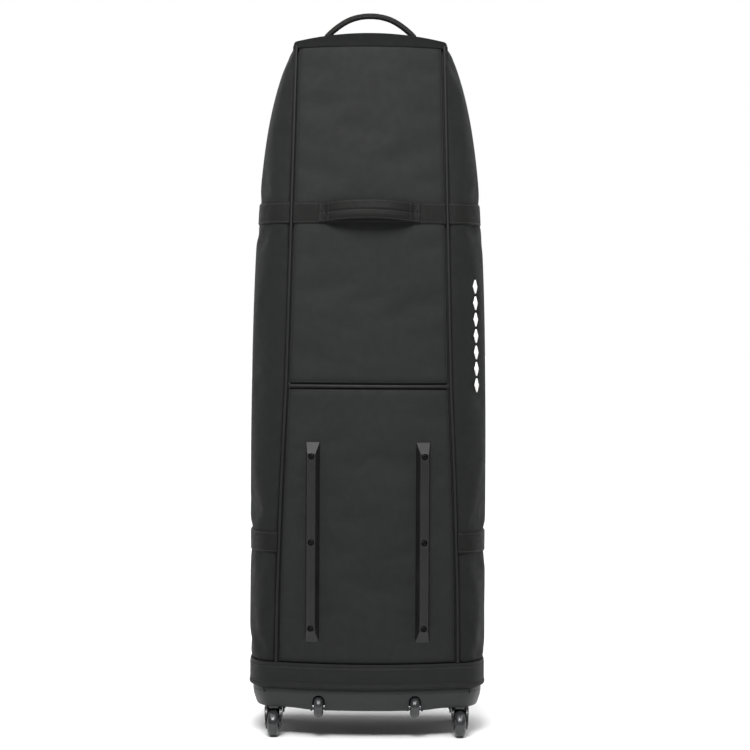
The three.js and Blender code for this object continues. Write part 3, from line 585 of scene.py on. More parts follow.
def grid_faces(rows, columns, start=0, flip=False):
    at = start + np.arange(rows * columns).reshape(rows, columns)
    quads = np.stack([at[:-1, :-1], at[:-1, 1:], at[1:, 1:], at[1:, :-1]], axis=-1).reshape(-1, 4)
    return (quads[:, ::-1] if flip else quads).tolist()


def border(rows, columns):
    at = np.arange(rows * columns).reshape(rows, columns)
    return np.concatenate([at[0], at[1:, -1], at[-1, -2::-1], at[-2:0:-1, 0]])


def wall_faces(rows, columns):
    """Two like grids, the second turned over, and the rim that joins their borders."""
    count, ring = rows * columns, border(rows, columns)
    after = np.roll(ring, -1)
    rim = np.stack([ring, after, after + count, ring + count], axis=-1).tolist()
    return grid_faces(rows, columns) + grid_faces(rows, columns, count, True) + rim


def wall(name, outer, inner, materials, sharp=40.0):
    """A sheet with two sides: the first material outside and on the rim, the second inside."""
    faces = wall_faces(*outer.shape[:2])
    side = (outer.shape[0] - 1) * (outer.shape[1] - 1)
    last = 1 if isinstance(materials, (list, tuple)) and len(materials) > 1 else 0
    which = [0] * side + [last] * side + [0] * (len(faces) - 2 * side)
    cloth = np.stack([run_lengths(outer, 1), run_lengths(outer, 0)], axis=-1)
    points = np.concatenate([outer.reshape(-1, 3), inner.reshape(-1, 3)])
    return make(name, points, faces, materials, np.concatenate([cloth, cloth]), which, sharp)


def softened(obj, levels=1):
    smooth = obj.modifiers.new("softened", "SUBSURF")
    smooth.levels = levels
    smooth.render_levels = levels
    return obj


def bevelled(obj, width, segments=2, angle=30.0):
    bevel = obj.modifiers.new("edges", "BEVEL")
    bevel.width = width
    bevel.segments = segments
    bevel.limit_method = "ANGLE"
    bevel.angle_limit = math.radians(angle)
    bevel.harden_normals = False
    return obj


def carve(obj, cutters):
    """Cuts closed meshes out of a closed mesh, and keeps the result as a plain mesh."""
    for cutter in cutters:
        cut = obj.modifiers.new("cut", "BOOLEAN")
        cut.object = cutter
        cut.operation = "DIFFERENCE"
        cut.solver = "EXACT"
    plain(obj)
    for cutter in cutters:
        bpy.data.objects.remove(cutter)
    return obj


def tube_shape(line, radius, sides=10, flat=1.0, closed_ends=True):
    """Points, faces and cloth places of a round tube along a line; flat squeezes it in depth."""
    line = np.asarray(line, float)
    tangent = np.gradient(line, axis=0)
    tangent /= np.linalg.norm(tangent, axis=-1, keepdims=True)
    side = np.cross(tangent, (0, 1, 0))
    side /= np.maximum(np.linalg.norm(side, axis=-1, keepdims=True), 1e-9)
    deep = np.cross(side, tangent)
    turn = np.linspace(0, 2 * math.pi, sides + 1)
    radius = np.broadcast_to(radius, (len(line),))[:, None, None]
    across = side[:, None] * np.cos(turn)[None, :, None]
    raised = deep[:, None] * (flat * np.sin(turn))[None, :, None]
    points = line[:, None] + radius * (across + raised)
    length = np.concatenate([[0], np.cumsum(np.linalg.norm(np.diff(line, axis=0), axis=-1))])
    cloth = np.stack(np.broadcast_arrays(turn[None] * radius[..., 0], length[:, None]), axis=-1)
    faces = grid_faces(len(line), sides + 1)
    if closed_ends:
        first = list(range(sides))
        final = [(len(line) - 1) * (sides + 1) + k for k in range(sides)]
        faces += [first[::-1], final]
    return points.reshape(-1, 3), faces, cloth.reshape(-1, 2)


def joined_shapes(shapes):
    """Joins (points, faces, cloth) shapes into one."""
    points, faces, cloth, start = [], [], [], 0
    for some_points, some_faces, some_cloth in shapes:
        points.append(np.asarray(some_points, float).reshape(-1, 3))
        cloth.append(np.asarray(some_cloth, float).reshape(-1, 2))
        faces += [[v + start for v in face] for face in some_faces]
        start += len(points[-1])
    return np.concatenate(points), faces, np.concatenate(cloth)


def lathe_shape(profile, centre, axis="X", steps=48):
    """Turns a closed (radius, along) profile about an axis through a centre."""
    turn = np.linspace(0, 2 * math.pi, steps + 1)[:, None]
    radius, along = np.asarray(profile, float).T
    one, two = radius * np.cos(turn), radius * np.sin(turn)
    along = np.broadcast_to(along, one.shape)
    parts = {"X": (along, one, two), "Y": (two, along, one), "Z": (one, two, along)}[axis]
    points = np.stack(parts, axis=-1) + np.asarray(centre, float)
    return points.reshape(-1, 3), grid_faces(steps + 1, len(profile)), np.zeros((points.size // 3, 2))


def lathe(name, profile, centre, material, axis="X", steps=48, sharp=35.0):
    points, faces, _ = lathe_shape(profile, centre, axis, steps)
    return make(name, points, faces, material, None, None, sharp)


def prism_sides(count):
    """The quads between two like rings of points that follow each other."""
    return [[k, (k + 1) % count, (k + 1) % count + count, k + count] for k in range(count)]


def box_shape(low, high):
    (a, b, c), (d, e, f) = low, high
    points = [(a, b, c), (d, b, c), (d, e, c), (a, e, c), (a, b, f), (d, b, f), (d, e, f), (a, e, f)]
    return points, BOX_FACES, np.zeros((8, 2))


def refined(name, node, material, bevel, segments=2, flat=2.0):
    """A copy of a CAD solid with its triangles merged back into faces and its edges rounded."""
    mesh = frame["nodes"][node].data.copy()
    mesh.name = name
    mesh.materials.clear()
    mesh.materials.append(material)
    shape = bmesh.new()
    shape.from_mesh(mesh)
    bmesh.ops.remove_doubles(shape, verts=shape.verts, dist=1e-5)
    bmesh.ops.dissolve_limit(
        shape, angle_limit=math.radians(flat), verts=shape.verts, edges=shape.edges
    )
    layer = shape.loops.layers.uv.verify()
    for face in shape.faces:
        deep = max(range(3), key=lambda axis: abs(face.normal[axis]))
        one, two = [axis for axis in range(3) if axis != deep]
        for loop in face.loops:
            loop[layer].uv = (loop.vert.co[one], loop.vert.co[two])
    shape.to_mesh(mesh)
    shape.free()
    for uv_layer in mesh.uv_layers:
        uv_layer.name = CLOTH_MAP
    mesh.shade_smooth()
    mesh.set_sharp_from_angle(angle=math.radians(35))
    return bevelled(linked(name, mesh), bevel, segments)


print("a wall of 3 by 3 points has", len(wall_faces(3, 3)), "faces")

# %% [markdown]
# ## Rows of stitches and teeth
# A seam is hundreds of like stitches along a line, which is what Geometry Nodes are for. The
# tree below turns edges into curves, drops a point at each pitch, and puts a small ellipsoid
# there, stretched along the seam. The same tree makes zip coils, with the beads turned
# across the tape. A bead has only twenty faces, because there are thousands.

# %% The bead row tree
def new_tree(title, output, **inputs):
    """An empty tree with its input sockets and one geometry output."""
    tree = bpy.data.node_groups.new(title, "GeometryNodeTree")
    keys = {}
    for name, kind in inputs.items():
        socket = tree.interface.new_socket(name, in_out="INPUT", socket_type="NodeSocket" + kind)
        keys[name] = socket.identifier
    tree.interface.new_socket(output, in_out="OUTPUT", socket_type="NodeSocketGeometry")
    return tree, keys


def bead_row_tree():
    tree, keys = new_tree(
        "bead row", "Beads",
        Line="Geometry", Pitch="Float", Size="Vector", Facing="Vector", Finish="Material",
    )
    nodes, links = tree.nodes, tree.links
    given, result = nodes.new("NodeGroupInput"), nodes.new("NodeGroupOutput")
    curve, points = nodes.new("GeometryNodeMeshToCurve"), nodes.new("GeometryNodeCurveToPoints")
    points.mode = "LENGTH"
    turn = nodes.new("FunctionNodeAlignRotationToVector")
    turn.axis, turn.pivot_axis = "Y", "Z"
    bead = nodes.new("GeometryNodeMeshIcoSphere")
    bead.inputs["Radius"].default_value = 0.5
    bead.inputs["Subdivisions"].default_value = 1
    smooth = nodes.new("GeometryNodeSetShadeSmooth")
    copies = nodes.new("GeometryNodeInstanceOnPoints")
    real, dress = nodes.new("GeometryNodeRealizeInstances"), nodes.new("GeometryNodeSetMaterial")
    links.new(given.outputs["Line"], curve.inputs["Mesh"])
    links.new(curve.outputs["Curve"], points.inputs["Curve"])
    links.new(given.outputs["Pitch"], points.inputs["Length"])
    links.new(points.outputs["Points"], copies.inputs["Points"])
    links.new(points.outputs["Rotation"], turn.inputs["Rotation"])
    links.new(given.outputs["Facing"], turn.inputs["Vector"])
    links.new(turn.outputs["Rotation"], copies.inputs["Rotation"])
    links.new(bead.outputs["Mesh"], smooth.inputs["Geometry"])
    links.new(smooth.outputs["Geometry"], copies.inputs["Instance"])
    links.new(given.outputs["Size"], copies.inputs["Scale"])
    links.new(copies.outputs["Instances"], real.inputs["Geometry"])
    links.new(real.outputs["Geometry"], dress.inputs["Geometry"])
    links.new(given.outputs["Finish"], dress.inputs["Material"])
    links.new(dress.outputs["Geometry"], result.inputs["Beads"])
    return tree, keys


BEAD_TREE, BEAD_INPUT = bead_row_tree()


def bead_rows(name, lines, pitch, size, material, facing=(0.0, 1.0, 0.0)):
    """Beads along some lines, as one plain mesh. size is across, out and along the line."""
    mesh = bpy.data.meshes.new(name + " lines")
    points, edges = [], []
    for line in lines:
        start = len(points)
        points += [tuple(p) for p in np.asarray(line, float).reshape(-1, 3)]
        edges += [(k, k + 1) for k in range(start, len(points) - 1)]
    mesh.from_pydata(points, edges, [])
    obj = linked(name, mesh)
    rows = obj.modifiers.new("rows", "NODES")
    rows.node_group = BEAD_TREE
    rows[BEAD_INPUT["Pitch"]] = pitch
    rows[BEAD_INPUT["Size"]] = size
    rows[BEAD_INPUT["Facing"]] = facing
    rows[BEAD_INPUT["Finish"]] = material
    plain(obj)
    print(name, len(obj.data.polygons), "faces")
    return obj


STITCH_PITCH = 0.0034
STITCH_SIZE = (0.0009, 0.0009, 0.0027)


def stitch(name, lines, body, slot, material=None, pitch=STITCH_PITCH, size=STITCH_SIZE):
    return place(bead_rows(name, lines, pitch, size, material or black_thread), body, slot)


print("the bead tree has", len(BEAD_TREE.nodes), "nodes")

# %% [markdown]
# ## Settling the cloth
# Each padded wall starts as the exact surface of its pattern. On the real case the foam
# pushes the cloth out, and seams, webbing and rails hold it back, which gives the panels
# their quiet hollows and swells. A short cloth simulation does the same: the held points are
# pinned, a light pressure pushes out, and the cloth is cut a little too long. How far a point
# may move is limited, so that every panel stays by its solid.

# %% The settling simulation
SETTLE_FRAMES = 20


def ripple(points, seed):
    """A small smooth unevenness, the same each run, that tells the cloth where to fold."""
    chance = np.random.default_rng(seed)
    height = np.zeros(points.shape[:-1])
    for _ in range(7):
        wave = chance.normal(size=3) * 28.0
        height += np.sin(points @ wave + chance.uniform(0, 2 * math.pi))
    return height / 7


def settle(points, held, seed, pressure=0.6, slack=0.004, most=0.005):
    """The grid after its cloth has settled; held marks the points that can't move."""
    inside = (0.0, 0.0, float(points[..., 2].mean()))
    normals = grid_normals(points, inside)
    free = np.clip(edge_distance(points) / 0.03, 0, 1) * ~held
    start = points + normals * (ripple(points, seed) * 0.0011 * free)[..., None]
    rows, columns = points.shape[:2]
    mesh = bpy.data.meshes.new("settling")
    mesh.from_pydata(start.reshape(-1, 3).tolist(), [], grid_faces(rows, columns))
    obj = linked("settling", mesh)
    if mesh.polygons[0].normal.dot(Vector(normals[0, 0])) < 0:
        mesh.flip_normals()
    group = obj.vertex_groups.new(name="held")
    pinned = held.copy()
    pinned[[0, -1], :] = True
    pinned[:, [0, -1]] = True
    group.add(np.flatnonzero(pinned.ravel()).tolist(), 1.0, "REPLACE")
    cloth = obj.modifiers.new("cloth", "CLOTH")
    cloth.settings.vertex_group_mass = "held"
    cloth.settings.quality = 6
    cloth.settings.mass = 0.25
    cloth.settings.tension_stiffness = 25
    cloth.settings.compression_stiffness = 25
    cloth.settings.bending_stiffness = 2.5
    cloth.settings.air_damping = 4
    cloth.settings.shrink_min = -slack
    cloth.settings.use_pressure = True
    cloth.settings.uniform_pressure_force = pressure
    cloth.settings.effector_weights.gravity = 0
    cloth.point_cache.frame_start, cloth.point_cache.frame_end = 1, SETTLE_FRAMES
    for frame_number in range(1, SETTLE_FRAMES + 1):
        scene.frame_set(frame_number)
    graph = bpy.context.evaluated_depsgraph_get()
    moved = np.empty(len(mesh.vertices) * 3)
    obj.evaluated_get(graph).data.vertices.foreach_get("co", moved)
    bpy.data.objects.remove(obj)
    scene.frame_set(1)
    step = moved.reshape(points.shape) - points
    length = np.maximum(np.linalg.norm(step, axis=-1, keepdims=True), 1e-9)
    print("settled", points.shape[:2], "moved", round(float(length.max()) * 1000, 2), "mm at most")
    return points + step / length * (most * np.tanh(length / most))


SEAM_ROLL = 0.008


def padded_wall(
    name, outer, thickness, inside, held=None, seed=1, tuck=0.0018, loose_top=False, face=None, **cloth
):
    """A padded panel: settled cloth outside, its edges drawn into the seams, lining inside."""
    normals = grid_normals(outer, inside)
    distance = edge_distance(outer, loose_top)
    held = np.zeros(outer.shape[:2], bool) if held is None else held
    skin = settle(outer, held, seed, **cloth)
    drawn = tuck * (1 - np.clip(distance / SEAM_ROLL, 0, 1)) ** 2
    skin = skin - normals * drawn[..., None]
    back = outer - normals * thickness
    obj = wall(name, skin, back, [face or shell_cloth, lining_cloth], sharp=60.0)
    return softened(obj)


print("settling", "runs")

# %% [markdown]
# ## The rear panels
# The rear is two curved panels that meet at a piped seam a little below half height. Webbing
# holds the upper one across its middle, and the skid rails are screwed down on the lower
# one, so those points are pinned while the cloth settles.

# %% The rear panels
CLOTH_STEP = 0.009
RAIL_LOW, RAIL_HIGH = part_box("skid_rail_right")
RAIL_X = (RAIL_LOW.x + RAIL_HIGH.x) / 2
RAIL_HALF = (RAIL_HIGH.x - RAIL_LOW.x) / 2


def rear_grid(low, top_at):
    columns = round(2 * float(panel_half(low)) / CLOTH_STEP)
    rows = round((float(top_at(0.0)) - low) / CLOTH_STEP)
    u, v = shares(columns, rows)
    z = mixed(low, top_at((2 * u - 1) * panel_half(SHOULDER)), v)
    x = (2 * u - 1) * (panel_half(z) - PIPING_SLOT)
    return stacked(x, rear_face(x, z), z)


lower_grid = rear_grid(WALL_BOTTOM, lambda x: SEAM_HEIGHT - PIPING_SLOT + 0 * x)
by_rail = np.abs(np.abs(lower_grid[..., 0]) - RAIL_X) < RAIL_HALF
by_rail &= (lower_grid[..., 2] > RAIL_LOW.z) & (lower_grid[..., 2] < RAIL_HIGH.z)
lower_rear = padded_wall(
    "lower_rear_panel", lower_grid, PANEL_WALL, (0, 0, 0.4), by_rail, seed=3, most=0.0035
)
place(lower_rear, "case", "shell_fabric", "rear_panel_lower")

upper_grid = rear_grid(
    SEAM_HEIGHT + PIPING_SLOT, lambda x: wall_top(rear_face(x, SHOULDER) + PANEL_WALL)
)
by_webbing = np.abs(upper_grid[..., 2] - UPPER_WEBBING) < WEBBING_WIDTH / 2 + 0.003
upper_rear = padded_wall(
    "upper_rear_panel", upper_grid, PANEL_WALL, (0, 0, 0.95), by_webbing,
    seed=5, loose_top=True, most=0.0045,
)
place(upper_rear, "case", "shell_fabric", "rear_panel_upper")
print("rear panels", lower_grid.shape, upper_grid.shape)

# %% [markdown]
# ## The side gussets
# Each side is one long wall from the rear piping round to the zip. It is the case's softest
# face, so its cloth gets more slack than the rear. Two belts of webbing pinch it in.

# %% The side gussets
GUSSET_ARC = 0.36


def gusset_grid(side):
    columns, rows = round(GUSSET_ARC / CLOTH_STEP), round((SHOULDER - WALL_BOTTOM) / CLOTH_STEP)
    u, v = shares(columns, rows)
    top = wall_top(gusset_point(u, SHOULDER)[..., 1] + GUSSET_WALL)
    z = mixed(WALL_BOTTOM, top, v)
    return gusset_point(u, z) * (side, 1, 1)


for name, side in SIDES:
    outer = gusset_grid(side)
    belts = np.minimum(abs(outer[..., 2] - UPPER_WEBBING), abs(outer[..., 2] - LOWER_WEBBING))
    # The side walls wear the darker side cloth; its darkness is painted shade.
    gusset = padded_wall(
        f"side_wall_{name}", outer, GUSSET_WALL, (0, 0, 0.7), belts < WEBBING_WIDTH / 2 + 0.002,
        seed=11 + side, face=side_cloth_with_painted_shade, slack=0.006, most=0.0045,
    )
    place(gusset, "case", "shell_fabric", f"gusset_{name}")
    print("gusset", name, outer.shape)

# %% [markdown]
# ## The piping
# A cord wrapped in a bias strip is sewn into each rear corner and across the seam between
# the two rear panels. It stands in the groove that the two panels leave, so it is a tube on
# the line where they meet.

# %% The piping
def piping_line(side, stations=130):
    top = wall_top(rear_face(np.array(TOP_HALF), SHOULDER))
    z = np.linspace(WALL_BOTTOM, float(top), stations)
    x = panel_half(z)
    return stacked(side * x, rear_face(x, z), z)


for name, side in SIDES:
    points, faces, cloth = tube_shape(piping_line(side), PIPING_RADIUS, 12)
    piping = make(f"corner_piping_{name}", points, faces, piping_cover, cloth)
    place(piping, "case", "piping_cord", f"piping_{name}")

# A wide tape is sewn over each of these seams inside, and closes it.
BINDING_HALF, BINDING_FLAT, BINDING_BACK = 0.0075, 0.5, 0.0105
for name, side in SIDES:
    line = piping_line(side) + (-side * 0.001, BINDING_BACK, 0)
    points, faces, cloth = tube_shape(line, BINDING_HALF, 12, BINDING_FLAT)
    place(make(f"inner_binding_{name}", points, faces, tape_cloth, cloth), "case", "piping_cord")
binding_x = np.linspace(-1, 1, 50) * (float(panel_half(SEAM_HEIGHT)) - 0.002)
line = stacked(binding_x, rear_face(binding_x, SEAM_HEIGHT) + BINDING_BACK, SEAM_HEIGHT)
points, faces, cloth = tube_shape(line, BINDING_HALF, 12, BINDING_FLAT)
place(make("inner_binding_seam", points, faces, tape_cloth, cloth), "case", "piping_cord")

cross_x = np.linspace(-1, 1, 60) * (panel_half(SEAM_HEIGHT) - 2 * PIPING_SLOT)
cross_line = stacked(cross_x, rear_face(cross_x, SEAM_HEIGHT), SEAM_HEIGHT)
turn = np.linspace(0, 2 * math.pi, 13)
cross_ring = stacked(0 * turn, np.cos(turn), np.sin(turn)) * PIPING_RADIUS
cross_points = cross_line[:, None] + cross_ring[None]
cross_cloth = np.stack(np.broadcast_arrays(turn[None] * PIPING_RADIUS, cross_x[:, None]), axis=-1)
cross_ends = [list(range(12))[::-1], [59 * 13 + k for k in range(12)]]
cross_piping = make(
    "seam_piping", cross_points, grid_faces(60, 13) + cross_ends, piping_cover, cross_cloth
)
place(cross_piping, "case", "piping_cord", "piping_cross")

seam_rows = [piping_line(side) + (-side * 0.0068, 0, 0) for side in (-1, 1)]
for row in seam_rows:
    row[:, 1] = rear_face(row[:, 0], row[:, 2]) + 0.0004
for offset in (-0.0078, 0.0078):
    across = np.linspace(-1, 1, 60) * (panel_half(SEAM_HEIGHT) - 0.012)
    seam_rows.append(stacked(across, rear_face(across, SEAM_HEIGHT) + 0.0004, SEAM_HEIGHT + offset))
stitch("rear_seam_stitches", seam_rows, "case", "piping_cord")

# %% [markdown]
# ## The padded cap and the top handle
# The cap closes the top like a lid of foam. Its rear wall shows as a dark arched band over
# the rear panel; its cloth is a darker copy of the shell cloth, painted shade for the wall that
# rolls over away from the light. It is one grid: rows that climb the wall, roll over the edge and cross
# the crown. The handle is webbing sewn round a tube, so it is a tube with a sewn seam and flat,
# stitched ends.

# %% The cap
CAP_EDGE, CAP_CROWN, CAP_FALL = 0.0065, 0.013, 0.3
CAP_ROLL = 0.005
CAP_LAP = 0.0025
CAP_CLIMB = np.array([0.0, 0.3, 0.55, 0.72, 0.86, 0.95, 1.0])


def cap_height(across, back):
    return CAP_EDGE + CAP_CROWN * (1 - (2 * across - 1) ** 2) * (1 - CAP_FALL * back)


def cap_point(across, back, height):
    edge = gusset_point(back, SHOULDER)
    rear_edge = panel_half(SHOULDER) + PIPING_SLOT
    share = 2 * across - 1
    curve = rear_face(share * rear_edge, SHOULDER) - rear_face(rear_edge, SHOULDER)
    y = edge[..., 1] + (1 - back) * curve
    return stacked(share * edge[..., 0], y, wall_top(y) + GAP + height)


def cap_grid(cells=34):
    """Edge rows climb the wall and bend in over a small roll; the rest cross the crown."""
    bend = CAP_ROLL * (1 - np.sqrt(1 - np.clip((CAP_CLIMB - 0.5) / 0.5, 0, 1) ** 2 * 0.999))
    flat = np.linspace(0, 1, cells + 1)[1:-1]
    width = 2 * TOP_HALF
    inner = mixed(bend[-1] / width, 1 - bend[-1] / width, flat)
    side = np.concatenate([bend / width, inner, 1 - bend[::-1] / width])
    climb = np.concatenate([CAP_CLIMB, np.ones(cells - 1), CAP_CLIMB[::-1]])
    u, v = np.meshgrid(side, side)
    share = np.minimum(*np.meshgrid(climb, climb))
    lap = np.where(share == 0, 1.0, 0.0)
    points = cap_point(u, v, cap_height(u, v) * share - CAP_LAP * lap)
    middle = points[..., :2].mean(axis=(0, 1))
    points[..., :2] += (points[..., :2] - middle) * (0.008 * lap)[..., None]
    return points


cap_outer = cap_grid()
cap_inner = cap_outer.copy()
cap_inner[..., 2] = np.minimum(cap_outer[..., 2] - 0.004, wall_top(cap_outer[..., 1]) + 0.001)
# The cap's darker cloth is painted shade.
cap = wall("padded_cap", cap_outer, cap_inner, [cap_cloth_with_painted_shade, lining_cloth], sharp=70.0)
place(softened(cap), "case", "shell_fabric", "top_cap")
print("cap", cap_outer.shape, "crown at", round(float(cap_outer[..., 2].max()), 4))

# %% The top handle
HANDLE_LOW, HANDLE_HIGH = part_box("top_handle")
HANDLE_RADIUS = 0.0055
HANDLE_Y = (HANDLE_LOW.y + HANDLE_HIGH.y) / 2
HANDLE_SPAN = 0.078
HANDLE_FOOT, HANDLE_TOP = HANDLE_LOW.z + 0.0025, HANDLE_HIGH.z - HANDLE_RADIUS
HANDLE_OUTLINE = [(1.04, -0.08), (0.75, 0.45), (0.5, 0.78), (0.25, 0.95), (0, 1)]


def smooth_line(corners, count):
    """A smooth line through some points, at even steps of length."""
    corners = np.asarray(corners, float)
    chord = np.concatenate([[0], np.cumsum(np.linalg.norm(np.diff(corners, axis=0), axis=-1) ** 0.5)])
    ghost = np.vstack([2 * corners[0] - corners[1], corners, 2 * corners[-1] - corners[-2]])
    fine = []
    for k in range(len(corners) - 1):
        t = np.linspace(0, 1, 24, endpoint=False)[:, None]
        a, b, c, d = ghost[k : k + 4]
        bend = 2 * b + (c - a) * t + (2 * a - 5 * b + 4 * c - d) * t**2 + (3 * b - a - 3 * c + d) * t**3
        fine.append(bend / 2)
    fine = np.vstack([*fine, corners[-1:]])
    length = np.concatenate([[0], np.cumsum(np.linalg.norm(np.diff(fine, axis=0), axis=-1))])
    even = np.linspace(0, length[-1], count)
    return np.stack([np.interp(even, length, fine[:, axis]) for axis in range(3)], axis=-1)


def handle_corner(out, up, side):
    return (side * out * HANDLE_SPAN, HANDLE_Y, mixed(HANDLE_FOOT, HANDLE_TOP, up))


left_half = [handle_corner(out, up, -1) for out, up in HANDLE_OUTLINE]
right_half = [handle_corner(out, up, 1) for out, up in HANDLE_OUTLINE[-2::-1]]
handle_line = smooth_line(left_half + right_half, 90)
end_share = np.minimum(np.arange(90), np.arange(90)[::-1]) / 6.0
handle_radius = HANDLE_RADIUS * np.clip(0.82 + 0.18 * end_share, 0.82, 1.0)
sleeve = np.abs(np.linspace(-1, 1, 90))
handle_radius = handle_radius * np.where(np.abs(sleeve - 0.2) < 0.012, 0.93, 1.0)
points, faces, cloth = tube_shape(handle_line, handle_radius, 16, flat=0.9)
top_grip = make("top_grip", points, faces, strap_webbing, cloth[:, ::-1])
place(softened(top_grip), "case", "handle_grip", "top_handle")
grip_seam = handle_line[4:-4] + (0, -HANDLE_RADIUS * 0.9, 0)
stitch("top_grip_stitches", [grip_seam + (0, 0, -0.0012)], "case", "handle_grip")
print("top handle", round(float(run_lengths(handle_line, 0)[-1]), 3), "m long")

# %% [markdown]
# ## Webbing, carry handle and their stitching
# A belt of 38 mm webbing runs round the upper body, and the carry handle is sewn on it. A
# shorter belt crosses each side lower down. Webbing is flat and stiff, so it is modelled
# straight on the panels' laws with rounded selvedges, and only the handle stands off. The
# handle is the same webbing folded lengthwise, which leaves a crease along its middle.

# %% Webbing belts
WEBBING_THICKNESS = 0.0018
BELT_ROWS = 8


def belt(name, at, columns, middle):
    """at(u, z, out) gives the belt's path; the selvedges are thinner than the middle."""
    u, v = shares(columns, BELT_ROWS)
    selvedge = np.clip(np.minimum(v, 1 - v) * BELT_ROWS, 0, 1)
    z = middle + (v - 0.5) * WEBBING_WIDTH
    full = GAP + WEBBING_THICKNESS * (0.55 + 0.45 * selvedge)
    wave = 0.00025 * np.sin(u * 47.0 + v * 3.0)
    outer, inner = at(u, z, full + wave + 0.0004), at(u, z, -0.0012)
    obj = wall(name, outer, inner, strap_webbing, sharp=60.0)
    return obj


def rear_belt_at(u, z, out):
    x = (2 * u - 1) * (panel_half(z) - PIPING_SLOT)
    return stacked(x, rear_face(x, z) - out, z)


def side_belt_at(side):
    return lambda u, z, out: gusset_point(u, z, out) * (side, 1, 1)


rear_belt = belt("rear_belt", rear_belt_at, 60, UPPER_WEBBING)
place(rear_belt, "case", "webbing", "webbing_rear")
belt_stitches = []
for level, height in (("upper", UPPER_WEBBING), ("lower", LOWER_WEBBING)):
    for name, side in SIDES:
        side_belt = belt(f"side_belt_{level}_{name}", side_belt_at(side), 80, height)
        place(side_belt, "case", "webbing", f"webbing_{level}_{name}")
        run = np.linspace(0.01, 0.99, 70)
        for edge in (-1, 1):
            z = height + edge * (WEBBING_WIDTH / 2 - 0.003)
            belt_stitches.append(gusset_point(run, z, 0.0026) * (side, 1, 1))
run = np.linspace(0.01, 0.99, 60)
for edge in (-1, 1):
    z = UPPER_WEBBING + edge * (WEBBING_WIDTH / 2 - 0.003)
    belt_stitches.append(rear_belt_at(run, z, 0.0026))
stitch("belt_stitches", belt_stitches, "case", "webbing")

# %% The carry handle
CARRY_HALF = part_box("carry_handle")[1].x
CARRY_SPAN, CARRY_BOW, CARRY_LIFT, CARRY_THICKNESS = 0.160, 0.030, 0.005, 0.003
CARRY_WIDTH = 0.035


def carry_point(u, v, front):
    """The folded strap: flat above its crease, and rounded and proud below it."""
    x = (2 * u - 1) * CARRY_HALF
    span = np.maximum(0, 1 - (2 * x / CARRY_SPAN) ** 2)
    seat = rear_face(x, UPPER_WEBBING) - WEBBING_THICKNESS - 2 * GAP - 0.0010
    bow = CARRY_BOW * span**0.8
    z = UPPER_WEBBING + (v - 0.5) * CARRY_WIDTH + CARRY_LIFT * span
    lower = np.clip(v / 0.5, 0, 1)
    upper = np.clip((v - 0.5) / 0.5, 0, 1)
    roll = 0.0030 * np.sin(lower * math.pi) * np.minimum(1, span * 3 + 0.2)
    crease = 0.0016 * np.exp(-(((v - 0.5) / 0.035) ** 2)) * np.minimum(1, span * 4 + 0.3)
    lean = 0.004 * span * upper
    return stacked(x, seat - bow + lean - front * (CARRY_THICKNESS + roll - crease), z)


u, v = shares(96, 24)
carry = wall("carry_strap", carry_point(u, v, 1.0), carry_point(u, v, 0.0), strap_webbing, sharp=70.0)
place(softened(carry), "case", "webbing", "carry_handle")
carry_rows = []
for side in (-1, 1):
    inner_u = 0.5 + side * 0.5 * (CARRY_SPAN / 2 - 0.006) / CARRY_HALF
    outer_u = 0.5 + side * 0.5 * (CARRY_HALF - 0.003) / CARRY_HALF
    low_v, high_v = 0.09, 0.91
    corners = [(inner_u, low_v), (outer_u, low_v), (outer_u, high_v), (inner_u, high_v)]
    corners += [(inner_u, low_v), (outer_u, high_v)]
    for (u0, v0), (u1, v1) in zip(corners, corners[1:]):
        t = np.linspace(0, 1, 12)
        carry_rows.append(carry_point(mixed(u0, u1, t), mixed(v0, v1, t), 1.16))
t = np.linspace(0.09, 0.91, 70)
for v_line in (0.07, 0.44, 0.93):
    carry_rows.append(carry_point(t, v_line + 0 * t, 1.10))
stitch("carry_strap_stitches", carry_rows, "case", "webbing")

# %% [markdown]
# ## A plain side motif
# The side wall carries one light sewn mark. Here it is a generic column of lozenges in
# satin stitch, each a low pillow of white thread that follows the wall.

# %% The side motif
MOTIF_MIDDLE, MOTIF_STEP, MOTIF_COUNT = 0.735, 0.030, 7
MOTIF_ALONG = 0.215
MOTIF_HALF_WIDE, MOTIF_HALF_TALL = 0.0075, 0.0125


def lozenge(middle):
    """A grid folded into a diamond, raised in its middle."""
    u, v = shares(10, 10)
    a, b = 2 * u - 1, 2 * v - 1
    wide, tall = (a + b) / 2 * MOTIF_HALF_WIDE, (b - a) / 2 * MOTIF_HALF_TALL
    raised = 0.0011 * (1 - np.maximum(abs(a), abs(b)) ** 4)
    z = middle + tall
    along = MOTIF_ALONG + wide / GUSSET_ARC
    top = gusset_point(along, z, 0.0024 + raised)
    under = gusset_point(along, z, -0.0005)
    points = np.concatenate([top.reshape(-1, 3), under.reshape(-1, 3)])
    return points, wall_faces(11, 11), np.zeros((len(points), 2))


steps = [k - (MOTIF_COUNT - 1) / 2 for k in range(MOTIF_COUNT)]
lozenges = [lozenge(MOTIF_MIDDLE + step * MOTIF_STEP) for step in steps]
points, faces, cloth = joined_shapes(lozenges)
motif = make("side_motif", points, faces, white_thread, cloth, sharp=60.0)
place(motif, "case", "shell_fabric")
print("lozenges", len(lozenges))

# %% [markdown]
# ## The base band
# A band of cloth hides where the soft walls are screwed to the tray. Its top edge is a
# turned seam with a row of topstitching, and its lower edge is bound with a fat rolled
# binding that stands out over the tray. The whole section is one profile swept round the
# outline.

